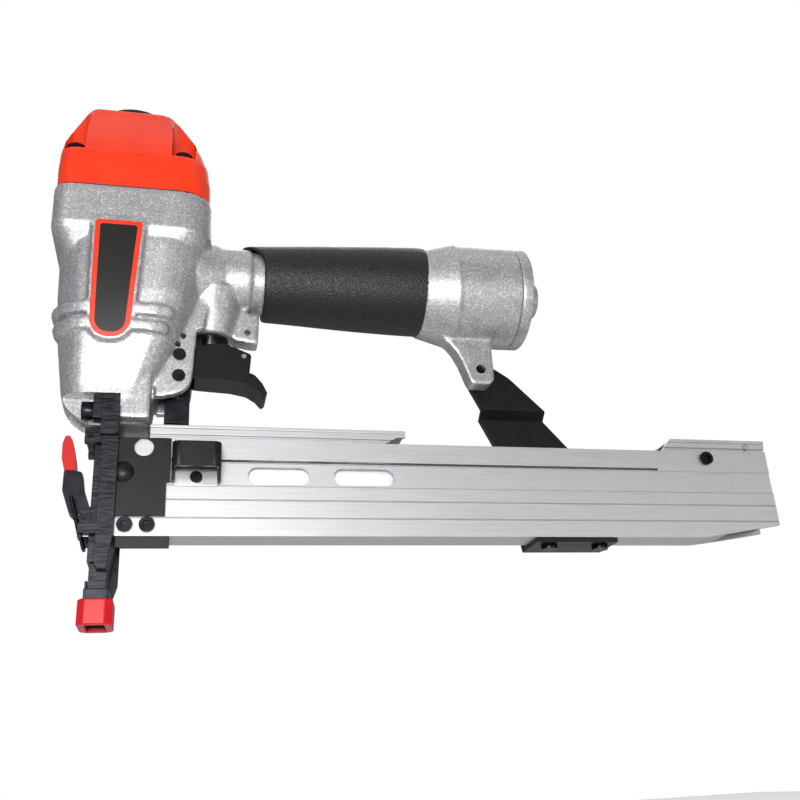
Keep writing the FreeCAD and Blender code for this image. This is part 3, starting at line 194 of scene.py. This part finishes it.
def machined_black():
    """Black-oxide steel with cutter marks across the bar."""
    made, tree, shader, place = begin("machined_black_oxide", "#2c2b2f", 0.42, 1.0)
    across = add(tree, "ShaderNodeMapping", {"Vector": place}, Scale=(0.12, 0.12, 1.0))
    marks = add(tree, "ShaderNodeTexNoise", {"Vector": across.outputs["Vector"]},
                Scale=per_mm(0.8), Detail=3.0).outputs["Fac"]
    tree.links.new(ramp(tree, marks, 0.35, 0.75, "#1d1c1f", "#3c3b40"),
                   shader.inputs["Base Color"])
    tree.links.new(stretch(tree, marks, 0.34, 0.55), shader.inputs["Roughness"])
    relief(tree, shader, marks, 0.05)
    return made


def soft_plastic(name, base, dark, rough, coat=0.0):
    """Moulded or dipped plastic with a faint skin."""
    made, tree, shader, place = begin(name, base, rough, 0.0, Coat_Weight=coat,
                                      Coat_Roughness=0.12, Specular_IOR_Level=0.3)
    tree.links.new(ramp(tree, noise(tree, place, 5.0), 0.3, 0.7, dark, base),
                   shader.inputs["Base Color"])
    relief(tree, shader, noise(tree, place, 0.7, 3.0), 0.02)
    return made


FINISHES = {
    "cast_silver": silver_paint(),
    "end_silver": silver_paint("drum_silver_paint", 1.4),
    "cap_orange": gloss_paint(),
    "grip_rubber": pebbled_rubber(),
    "extrusion": extruded_aluminium(),
    "nose_steel": machined_black(),
    "screw_black": simple_metal("screw_black_oxide", "#222225", 0.3, 1.0, 0.5, 0.01,
                                "#18181a", "#2c2c30"),
    "deflector_black": soft_plastic("deflector_black", "#111113", "#0a0a0b", 0.4),
    "gasket": soft_plastic("gasket_fibre", "#2b2a28", "#1d1c1b", 0.8),
    "badge_black": soft_plastic("badge_black_print", "#08070a", "#050506", 0.45),
    "badge_orange": soft_plastic("badge_orange_print", "#e0300f", "#d8290b", 0.4),
    "inner_aluminium": simple_metal("turned_aluminium", "#b9babc", 0.3, 1.0, 0.4, 0.01),
    "seal_rubber": soft_plastic("seal_rubber", "#151517", "#0c0c0e", 0.6),
    "spring_steel": simple_metal("spring_wire", "#8e8f92", 0.3, 1.0, 0.5, 0.01),
    "blade_steel": simple_metal("ground_blade", "#9b9c9f", 0.25, 1.0, 0.3, 0.005),
    "pin_steel": simple_metal("bright_pin", "#b3b3b5", 0.22, 1.0, 0.6, 0.008),
    "trigger_black": simple_metal("trigger_black_paint", "#08080a", 0.34, 0.0, 0.7, 0.02,
                                  "#050506", "#0c0c0e"),
    "arm_black": simple_metal("arm_black_oxide", "#242327", 0.36, 1.0, 0.7, 0.025,
                              "#1a191c", "#2e2d32"),
    "latch_black": simple_metal("latch_black_oxide", "#242327", 0.34, 1.0, 0.6, 0.02,
                                "#1a191c", "#2e2d32"),
    "latch_red": soft_plastic("dipped_red_vinyl", "#bb0a0a", "#a80707", 0.32, 0.1),
    "tip_red": soft_plastic("moulded_red_tip", "#c0101a", "#b00b14", 0.42, 0.1),
    "rail_black": simple_metal("rail_black_coat", "#0b0b0c", 0.45, 0.0, 0.8, 0.02,
                               "#070708", "#101012"),
    # rail zinc plate: partly its own pale zinc colour, partly painted light; it is made paler than the
    # pusher's zinc plate so it still reads pale in the shade behind the magazine's windows
    "rail_silver": simple_metal("rail_zinc_plate_painted_light", "#e4e3e6", 0.4, 0.5, 0.6, 0.01,
                                "#dddcdf", "#ebeaed"),
    "plate_black": simple_metal("plate_black_paint", "#0a0a0c", 0.38, 0.0, 0.9, 0.02,
                                "#060607", "#0f0f11"),
    "pusher_silver": simple_metal("zinc_plate", "#b9b9bb", 0.3, 0.95, 0.6, 0.012,
                                  "#a9a9ab", "#c9c9cb"),
}
SLOTS = {part["node"]: part["material_slot"] for part in frame["record"]["subparts"]}


def finish(piece, slot_name):
    """Give a piece its finish and nothing else."""
    piece.data.materials.clear()
    piece.data.materials.append(FINISHES[slot_name])


def soften(node, width):
    """Break a CAD node's edges with a small bevel."""
    weld = node.modifiers.new("Weld", "WELD")
    weld.merge_threshold = 1e-6
    bevel = node.modifiers.new("Edge", "BEVEL")
    bevel.width = width * MM
    bevel.segments = 2
    bevel.limit_method = "ANGLE"
    bevel.angle_limit = math.radians(35)
    bevel.harden_normals = True


BEVELS = {"magazine_body": 0.15, "front_rail": 0.25, "rear_rail": 0.25, "nose_guide": 0.35,
          "nose_door": 0.35, "nose_clamps": 0.4, "nose_bolts": 0.4, "trigger": 0.35,
          "contact_arm_lower": 0.4, "contact_arm_upper": 0.35, "side_plate_near": 0.25,
          "side_plate_far": 0.25, "pusher_tab": 0.3, "pusher_plate": 0.2,
          "support_bracket": 0.4, "wing_plate": 0.4, "latch_lever": 0.5, "magazine_screws": 0.3,
          "rear_screws": 1.4, "foot_screws": 1.5, "no_mar_tip": 1.2,
          "latch_grip": 1.3, "ear_pins": 0.35, "cap_screws": 0.4,
          "rear_block": 0.4, "staple_rail": 0.2, "exhaust_deflector": 0.5,
          "rear_end_cap": 0.5, "bracket_screw": 0.5, "pusher_screw": 0.4}
for node_name, node in frame["nodes"].items():
    finish(node, SLOTS[node_name])
    if node_name in BEVELS:
        soften(node, BEVELS[node_name])


# ------------------------------------------------------------------ modelling helpers
def clear():
    """Leave edit mode and deselect everything."""
    if bpy.context.mode != "OBJECT":
        bpy.ops.object.mode_set(mode="OBJECT")
    bpy.ops.object.select_all(action="DESELECT")


def named(name):
    """Name the piece just added, with its place moved into its mesh."""
    bpy.ops.object.transform_apply(location=True, rotation=True, scale=True)
    piece = bpy.context.object
    piece.name = piece.data.name = name
    return piece


def block(name, low, high):
    """A block between two corners."""
    clear()
    bpy.ops.mesh.primitive_cube_add(size=1, location=(Vector(low) + Vector(high)) / 2 * MM,
                                    scale=(Vector(high) - Vector(low)) * MM)
    return named(name)


def bar(name, axis, radius, low, high, across, rear=None, sides=64):
    """A round or tapered bar along an axis; across gives the two other coordinates."""
    clear()
    place = list(across)
    place.insert("xyz".index(axis), (low + high) / 2)
    turn = {"x": (0, math.pi / 2, 0), "y": (-math.pi / 2, 0, 0), "z": (0, 0, 0)}[axis]
    bpy.ops.mesh.primitive_cone_add(vertices=sides, radius1=radius * MM,
                                    radius2=(radius if rear is None else rear) * MM,
                                    depth=(high - low) * MM, location=Vector(place) * MM,
                                    rotation=turn)
    return named(name)


def edit(piece, kind):
    """Open a piece in edit mode with nothing selected."""
    clear()
    bpy.context.view_layer.objects.active = piece
    piece.select_set(True)
    bpy.ops.object.mode_set(mode="EDIT")
    bpy.ops.mesh.select_mode(type=kind)
    bpy.ops.mesh.select_all(action="DESELECT")


def pick(piece, kind, test):
    """Select what passes a test of its middle and its normal or direction, in millimetres."""
    edit(piece, kind)
    mesh = bmesh.from_edit_mesh(piece.data)
    if kind == "FACE":
        for face in mesh.faces:
            face.select_set(test(face.calc_center_median() / MM, face.normal))
    elif kind == "EDGE":
        for edge in mesh.edges:
            ends = [vertex.co for vertex in edge.verts]
            edge.select_set(test((ends[0] + ends[1]) / 2 / MM, (ends[1] - ends[0]).normalized()))
    else:
        for vertex in mesh.verts:
            vertex.select_set(test(vertex.co / MM, vertex.normal))
    mesh.select_flush_mode()
    bmesh.update_edit_mesh(piece.data)


def round_edges(piece, test, width, segments=4):
    """Round the edges that pass a test."""
    pick(piece, "EDGE", test)
    bpy.ops.mesh.bevel(offset=width * MM, offset_pct=0, segments=segments, affect="EDGES")
    clear()


def grow(piece, sections, upward=True):
    """Draw the top or bottom face out through sections: level, front, rear, half width."""
    sense = 1 if upward else -1
    level, front, rear, half = sections[0]
    pick(piece, "FACE", lambda middle, normal: normal.z * sense > 0.9)
    for next_level, next_front, next_rear, next_half in sections[1:]:
        centre = Vector(((front + rear) / 2, 0, next_level)) * MM
        bpy.ops.mesh.extrude_region_move(
            TRANSFORM_OT_translate={"value": (0, 0, (next_level - level) * MM)})
        bpy.ops.transform.resize(value=((next_rear - next_front) / (rear - front),
                                        next_half / half, 1), center_override=centre)
        bpy.ops.transform.translate(value=(((next_front + next_rear) - (front + rear)) / 2 * MM,
                                           0, 0))
        level, front, rear, half = next_level, next_front, next_rear, next_half
    clear()


def plate(name, outline, low, high):
    """A flat plate: an outline of (along, level) points, drawn out across the tool."""
    clear()
    bpy.ops.mesh.primitive_circle_add(vertices=len(outline), radius=MM, fill_type="NGON")
    piece = named(name)
    edit(piece, "VERT")
    mesh = bmesh.from_edit_mesh(piece.data)
    for vertex, (along, level) in zip(mesh.verts, outline):
        vertex.co = Vector((along, low, level)) * MM
    bmesh.update_edit_mesh(piece.data)
    bpy.ops.mesh.select_all(action="SELECT")
    bpy.ops.mesh.extrude_region_move(
        TRANSFORM_OT_translate={"value": (0, (high - low) * MM, 0)})
    bpy.ops.mesh.select_all(action="SELECT")
    bpy.ops.mesh.normals_make_consistent(inside=False)
    clear()
    return piece


def join(name, pieces):
    """Join pieces into one object."""
    clear()
    if len(pieces) == 1:
        pieces[0].name = pieces[0].data.name = name
        return pieces[0]
    for piece in pieces:
        piece.select_set(True)
    bpy.context.view_layer.objects.active = pieces[0]
    bpy.ops.object.join()
    return named(name)


def apply(piece, kind, **settings):
    """Add a modifier and apply it."""
    clear()
    bpy.context.view_layer.objects.active = piece
    piece.select_set(True)
    item = piece.modifiers.new(kind, kind)
    for name, value in settings.items():
        setattr(item, name, value)
    bpy.ops.object.modifier_apply(modifier=item.name)


def cast(name, pieces, grain, rounds):
    """Fuse overlapping forms under one skin and soften it, as a mould does."""
    piece = join(name, pieces)
    apply(piece, "REMESH", mode="VOXEL", voxel_size=grain * MM)
    apply(piece, "SMOOTH", factor=0.5, iterations=rounds)
    return piece


def carve(piece, cutters):
    """Cut each cutter out of a piece, as a drill or mill does."""
    for cutter in cutters:
        apply(piece, "BOOLEAN", operation="DIFFERENCE", solver="MANIFOLD", object=cutter)
        bpy.data.objects.remove(cutter)


def stand(piece, body, slot_name, *nodes, angle=35):
    """Shade a finished piece, give it its finish and let it stand for CAD nodes."""
    clear()
    bpy.context.view_layer.objects.active = piece
    piece.select_set(True)
    bpy.ops.object.shade_smooth_by_angle(angle=math.radians(angle))
    clear()
    finish(piece, slot_name)
    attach(piece, body)
    if nodes:
        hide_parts(*nodes)


def upright(place, direction):
    """True for an upright edge."""
    return abs(direction.z) > 0.9


# ------------------------------------------------------------------ shared places, in millimetres
HANDLE_LEVEL = 173
HANDLE = (0, HANDLE_LEVEL)          # across and level of the handle's axis
GRIP_END = 155
DRUM_END = 203.5
JOINT_LEVEL = 204                   # top of the casting
CAP_FLOOR = 204.8                   # underside of the cap, above its gasket
CAP_AXIS = 4                        # how far behind the drive axis the deflector turns
SCREW_SIDE = 24
FRONT_SCREW, REAR_SCREW = -22, 29.5
BOLT_RADIUS = 2.5
EAR_INNER, EAR_OUTER = 9.2, 14
NOSE_BOLT_SIDE = 13.3
BORE, CHAMBER = 15.6, 25            # radii of the sleeve's bore and of the chamber above it
LUG_HOLE = (183.4, 128.5)
FULL_TOP = 210                      # clear of everything above the casting


# ------------------------------------------------------------------ the casting
NEAR_FACE = [(87, 13.0), (105.5, 18.85), (128, 25.03), (152, 29.58), (176, 31.85), (JOINT_LEVEL, 32.5)]


def near_face(level):
    """How far the barrel's flat near face stands off the drive axis at a level."""
    for (low, first), (high, second) in zip(NEAR_FACE, NEAR_FACE[1:]):
        if level <= high:
            return first + (second - first) * (level - low) / (high - low)
    return NEAR_FACE[-1][1]


def badge_block(name, margin, back, front):
    """A block with the badge's outline; back and front give its faces at a level."""
    piece = plate(name, [(-9.4 - margin, 184.5 + margin), (12 + margin, 184.5 + margin),
                         (8.2 + margin, 127 - margin), (-9.4 - margin, 127 - margin)], -40, -15)
    round_edges(piece, lambda place, way: abs(way.y) > 0.9 and place.z < 150, 8 + margin, 8)
    round_edges(piece, lambda place, way: abs(way.y) > 0.9 and place.z > 180, 1.5 + margin, 3)
    edit(piece, "VERT")
    for level in (128, 152, 176):
        bpy.ops.mesh.select_all(action="SELECT")
        bpy.ops.mesh.bisect(plane_co=(0, 0, level * MM), plane_no=(0, 0, 1))
    mesh = bmesh.from_edit_mesh(piece.data)
    for vertex in mesh.verts:
        face = front if vertex.co.y < -30 * MM else back
        vertex.co.y = -face(vertex.co.z / MM) * MM
    bmesh.update_edit_mesh(piece.data)
    clear()
    return piece


def barrel_forms():
    """Lower barrel, square shoulder with its sloping underside, and the badge's raised seat."""
    lower = block("lower_barrel", (-10, -11, 90), (18.7, 11, 91))
    round_edges(lower, upright, 8, 7)
    grow(lower, [(91, -11, 18.7, 11.5), (93.5, -15.5, 19, 14.8), (97, -19.6, 19.6, 17.3),
                 (101, -21.9, 20, 18.5), (106, -23.2, 20.5, 19.1), (128, -26.4, 30.7, 25.0),
                 (152, -28.7, 38.7, 29.5), (176, -29.4, 43.4, 31.7), (190, -29.5, 43.8, 31.8)])
    shoulder = block("shoulder", (-30.2, -32.5, 183.5), (44.5, 32.5, JOINT_LEVEL))
    round_edges(shoulder, lambda place, way: upright(place, way) and place.x < 0, 8, 5)
    round_edges(shoulder, lambda place, way: upright(place, way) and place.x > 0, 15, 6)
    grow(shoulder, [(183.5, -30.2, 44.5, 32.5), (180.5, -29.6, 43.2, 31.2),
                    (160, -17, 28.5, 17)], upward=False)
    seat = badge_block("badge_seat", 1.5, lambda level: 15, lambda level: near_face(level) + 0.9)
    return [lower, shoulder, seat]


def ribs():
    """Two raised fingers each side of the badge, front and rear, on both sides of the barrel."""
    made = []
    for side in (-1, 1):
        for low, high, start, stop in ((138.2, 143.4, -27.5, -8), (130.6, 135.8, -26.5, -8),
                                       (138.2, 143.4, 9, 28), (130.6, 135.8, 8, 26)):
            finger = plate("finger", [(start, low), (stop, low), (stop, high), (start, high)],
                           side * 8, side * 40)
            round_edges(finger, lambda place, way: abs(way.y) > 0.9, 2.5, 5)
            made.append(finger)
    fingers = join("fingers", made)
    swell = block("swell", (-23.6, -18.9, 102), (21.4, 18.9, 102.5))
    round_edges(swell, upright, 14, 7)
    grow(swell, [(102.5, -23.6, 21.4, 18.9), (128, -28, 32.3, 26.6), (152, -30.4, 40.3, 31.1)])
    apply(swell, "BOOLEAN", operation="INTERSECT", solver="EXACT", object=fingers)
    bpy.data.objects.remove(fingers)
    return swell


def handle_forms():
    """Ears, pad, neck, valve boss, handle tube, drum and lugs."""
    made = [block("pad", (5.9, -17.5, 91), (18.7, 17.5, 122))]
    for side in (-1, 1):
        ear = plate("ear", [(20.8, 103.2), (28.4, 104), (35.5, 107.8), (37.2, 113), (38.8, 138.8),
                            (42, 139.6), (45, 165), (30, 165), (24.7, 128), (20.8, 113.3)],
                    side * EAR_INNER, side * EAR_OUTER)
        round_edges(ear, lambda place, way: abs(way.y) > 0.9 and place.x > 28 and place.z < 112, 3)
        made.append(ear)
    made += [bar("neck", "x", 17.3, 20, 64.5, HANDLE),
             bar("neck_root", "x", 23, 36, 52, HANDLE, rear=17.2),
             bar("valve_boss", "z", 10.8, 139.6, 163.6, (45.5, 0), rear=17),
             bar("handle_tube", "x", 16, 63, 172, HANDLE),
             bar("drum_flare", "x", 23.3, GRIP_END - 2, 170, HANDLE, rear=27.9),
             bar("drum", "x", 27.3, 169.5, DRUM_END, HANDLE),
             plate("big_lug", [(152, 156), (156, 151.3), (160, 148.8), (164.6, 145.4), (168, 142.3),
                               (171, 138), (173.6, 132.5), (177.2, 121.8), (178.8, 120.2),
                               (187.5, 120), (190.4, 122.8), (190.5, 153), (190.5, 160),
                               (165, 160)], -5, 5),
             plate("small_lug", [(54.8, 156), (54.8, 141.4), (57.4, 138.3), (68.6, 136.8),
                                 (69.3, 153.6), (63.5, 153.6), (63.5, 158)], -5, 5)]
    return made


def casting_cutters():
    """Bores, slots, seats and drilled holes."""
    cutters = [bar("cut", "z", BORE, 105.5, FULL_TOP, (0, 0)),
               bar("cut", "z", CHAMBER, 146, FULL_TOP, (0, 0)),
               bar("cut", "x", 12.5, 10, DRUM_END + 1.5, HANDLE),
               bar("cut", "x", 22, 174, DRUM_END + 1.5, HANDLE),
               bar("cut", "z", 6, 138.6, 162.6, (45.5, 0)),
               block("cut", (-1.05, -6.2, 86), (1.05, 6.2, 106.5)),
               block("cut", (22, -EAR_INNER, 80), (47, EAR_INNER, 139.6)),
               block("cut", (-32, -6.3, 80), (-4.5, 6.3, 98)),
               bar("cut", "y", BOLT_RADIUS + 0.1, -12, 12, LUG_HOLE),
               bar("cut", "y", 1.6, -8, 8, (63.4, 142.9)),
               block("cut", (-40, -40, JOINT_LEVEL - 0.1), (60, 40, FULL_TOP)),
               badge_block("cut", 0.12, lambda level: near_face(level) - 0.05, lambda level: 40)]
    for side in (-1, 1):
        cutters.append(block("cut", (-24, min(8.8 * side, 30 * side), 80),
                             (5.9, max(8.8 * side, 30 * side), 102.5)))
        cutters.append(bar("cut", "x", BOLT_RADIUS, 5.8, 16.8, (NOSE_BOLT_SIDE * side, 95)))
        cutters += [bar("cut", "z", BOLT_RADIUS, 186, 206, (along, SCREW_SIDE * side))
                    for along in (FRONT_SCREW, REAR_SCREW)]
    for along, level, radius in ((31, 124.8, 1.9), (31, 113.9, 1.9), (32.5, 134.6, 1.4),
                                 (30.1, 130.1, 1.4)):
        cutters.append(bar("cut", "y", radius, -16, 16, (along, level)))
    return cutters


def casting():
    """The silver body: cast forms under one skin, then machined."""
    body = cast("body_casting_skin", [*barrel_forms(), ribs(), *handle_forms()], 0.85, 3)
    carve(body, casting_cutters())
    stand(body, "frame", "cast_silver", "body_casting")


# ------------------------------------------------------------------ the cap
def cap():
    """Domed enamel cap with screw pockets open at its corners."""
    shell = block("cap_shell", (-29.4, -31.8, 195), (44, 31.8, 206))
    round_edges(shell, lambda place, way: upright(place, way) and place.x < 0, 8, 6)
    round_edges(shell, lambda place, way: upright(place, way) and place.x > 0, 15, 7)
    grow(shell, [(206, -29.4, 44, 31.8), (215, -29.6, 44, 31.8), (224.8, -29.2, 43, 31.2),
                 (233, -28, 40.4, 29.6), (240.8, -26, 36.8, 27.2), (247.5, -23.2, 32.8, 24.8),
                 (253, -20.4, 29.4, 22.8), (258.2, -17.8, 25.8, 21.4)])
    shell = cast("cap_skin", [shell], 0.6, 40)
    cutters = [block("cut", (-60, -60, 190), (60, 60, CAP_FLOOR)),
               bar("cut", "z", 19.5, 256, 265, (CAP_AXIS, 0)),
               bar("cut", "z", 24, 200, CAP_FLOOR + 27.2, (0, 0)),
               bar("cut", "z", 2, 225, 262, (CAP_AXIS, 0))]
    for turn in range(6):
        angle = math.radians(60 * turn)
        cutters.append(bar("cut", "z", 2.8, 228, 262,
                           (CAP_AXIS + 9 * math.cos(angle), 9 * math.sin(angle)), sides=24))
    for along, radius in ((FRONT_SCREW, 5.4), (REAR_SCREW, 6.4)):
        for side in (-1, 1):
            across, mouth = SCREW_SIDE * side, 36 * side
            cutters.append(bar("cut", "z", radius, 225.3, 265, (along, across)))
            cutters.append(bar("cut", "z", BOLT_RADIUS, 200, 230, (along, across)))
            cutters.append(block("cut", (along - radius + 0.6, min(across, mouth), 225.8),
                                 (along + radius - 0.6, max(across, mouth), 265)))
    carve(shell, cutters)
    apply(shell, "BEVEL", width=0.5 * MM, segments=3, limit_method="ANGLE",
          angle_limit=math.radians(40))
    stand(shell, "frame", "cap_orange", "head_cap", angle=50)


# ------------------------------------------------------------------ the grip
def grip():
    """Moulded rubber sleeve, its front edge reaching forward over the top of the neck."""
    stations = [(63.4, 17.3, 173), (63.4, 18.6, 173), (64.2, 19.1, 173), (66, 19.4, 173),
                (72, 19.6, 173.05), (86, 20.4, 173.3), (100, 21.3, 173.5), (113.5, 22, 173.6),
                (126, 22.7, 173.8), (140, 23.3, 174), (150, 23.6, 174.15), (153.6, 23.6, 174.2),
                (154.7, 23.2, 174.2), (GRIP_END, 22.4, 174.2), (GRIP_END, 16.2, 174.2)]
    clear()
    along, radius, level = stations[0]
    bpy.ops.mesh.primitive_circle_add(vertices=72, radius=radius * MM, fill_type="NOTHING",
                                      location=Vector((along, 0, level)) * MM,
                                      rotation=(0, math.pi / 2, 0))
    sleeve = named("grip_skin")
    edit(sleeve, "VERT")
    bpy.ops.mesh.select_all(action="SELECT")
    for next_along, next_radius, next_level in stations[1:]:
        bpy.ops.mesh.extrude_region_move(TRANSFORM_OT_translate={
            "value": ((next_along - along) * MM, 0, (next_level - level) * MM)})
        ratio = next_radius / radius
        bpy.ops.transform.resize(value=(1, ratio, ratio),
                                 center_override=Vector((next_along, 0, next_level)) * MM)
        along, radius, level = next_along, next_radius, next_level
    mesh = bmesh.from_edit_mesh(sleeve.data)
    for vertex in mesh.verts:
        reach = max(0.0, 1 - (vertex.co.x / MM - 63.4) / 60)
        rise = max(0.0, (vertex.co.z / MM - HANDLE_LEVEL) / 19)
        vertex.co.x += (11.5 * (1 - rise ** 2.2) - 4) * reach ** 1.5 * MM
    bmesh.update_edit_mesh(sleeve.data)
    bpy.ops.mesh.select_all(action="SELECT")
    bpy.ops.mesh.normals_make_consistent(inside=False)
    clear()
    apply(sleeve, "SUBSURF", levels=2, render_levels=2)
    apply(sleeve, "SOLIDIFY", thickness=0.8 * MM, offset=-1)
    stand(sleeve, "frame", "grip_rubber", "grip_sleeve")


casting()
cap()
grip()


# ------------------------------------------------------------------ camera, light and floor
def camera():
    """A camera below the tool, turned a little towards the inlet end."""
    yaw, pitch, roll = (math.radians(angle) for angle in (14.0, 22.5, -3.4))
    ahead = Vector((math.sin(yaw) * math.cos(pitch), math.cos(yaw) * math.cos(pitch),
                    math.sin(pitch)))
    flat_right = ahead.cross(Vector((0, 0, 1))).normalized()
    flat_up = flat_right.cross(ahead)
    right = flat_right * math.cos(roll) + flat_up * math.sin(roll)
    above = flat_up * math.cos(roll) - flat_right * math.sin(roll)
    lens = bpy.data.cameras.new("camera")
    lens.sensor_width = 36
    lens.lens = 42.3
    eye = bpy.data.objects.new("camera", lens)
    bpy.context.scene.collection.objects.link(eye)
    turn = Matrix((right, above, -ahead)).transposed().to_4x4()
    eye.matrix_world = Matrix.Translation(Vector((34.0, -426.9, -70.7)) * MM) @ turn
    lens.clip_start = 0.01
    lens.clip_end = 20
    bpy.context.scene.camera = eye


def lamp(name, place, target, size, power, colour="#ffffff"):
    """A soft rectangular light aimed at a point, all in millimetres."""
    light = bpy.data.lights.new(name, "AREA")
    light.shape = "RECTANGLE"
    light.size, light.size_y = size[0] * MM, size[1] * MM
    light.energy = power
    light.color = linear(colour)[:3]
    item = bpy.data.objects.new(name, light)
    bpy.context.scene.collection.objects.link(item)
    item.location = Vector(place) * MM
    item.rotation_euler = ((Vector(target) - Vector(place)) * MM).to_track_quat("-Z", "Y").to_euler()


def studio():
    """Pale floor, white surround and soft lamps."""
    bpy.ops.object.select_all(action="DESELECT")
    bpy.ops.mesh.primitive_plane_add(size=0.8, location=(0.15, 0, -0.09))
    floor = bpy.context.object
    floor.name = "floor"
    made, tree, shader, place = begin("pale_floor", "#f4f4f4", 0.8)
    tree.links.new(ramp(tree, noise(tree, place, 400.0), 0.3, 0.7, "#f1f1f1", "#f7f7f7"),
                   shader.inputs["Base Color"])
    floor.data.materials.append(made)
    world = bpy.data.worlds.new("surround")
    bpy.context.scene.world = world
    world.use_nodes = True
    surround = world.node_tree
    glow = surround.nodes["Background"]
    ray = add(surround, "ShaderNodeLightPath")
    level = add(surround, "ShaderNodeMapRange", {"Value": ray.outputs["Is Camera Ray"]},
                To_Min=0.3, To_Max=1.0)
    surround.links.new(level.outputs["Result"], glow.inputs["Strength"])
    glow.inputs["Color"].default_value = (1, 1, 1, 1)
    lamp("flash", (-20, -640, -10), (110, 0, 120), (260, 140), 4.3)
    lamp("key", (-350, -1000, 350), (60, 0, 120), (900, 900), 3)
    lamp("fill", (700, -700, 100), (150, 0, 100), (600, 400), 1)
    lamp("rim", (100, 500, 700), (80, 0, 150), (700, 300), 3)
    lamp("overhead", (150, 0, 1500), (150, 0, 0), (2000, 2000), 8)
    bpy.context.scene.view_settings.view_transform = "Standard"


camera()
studio()
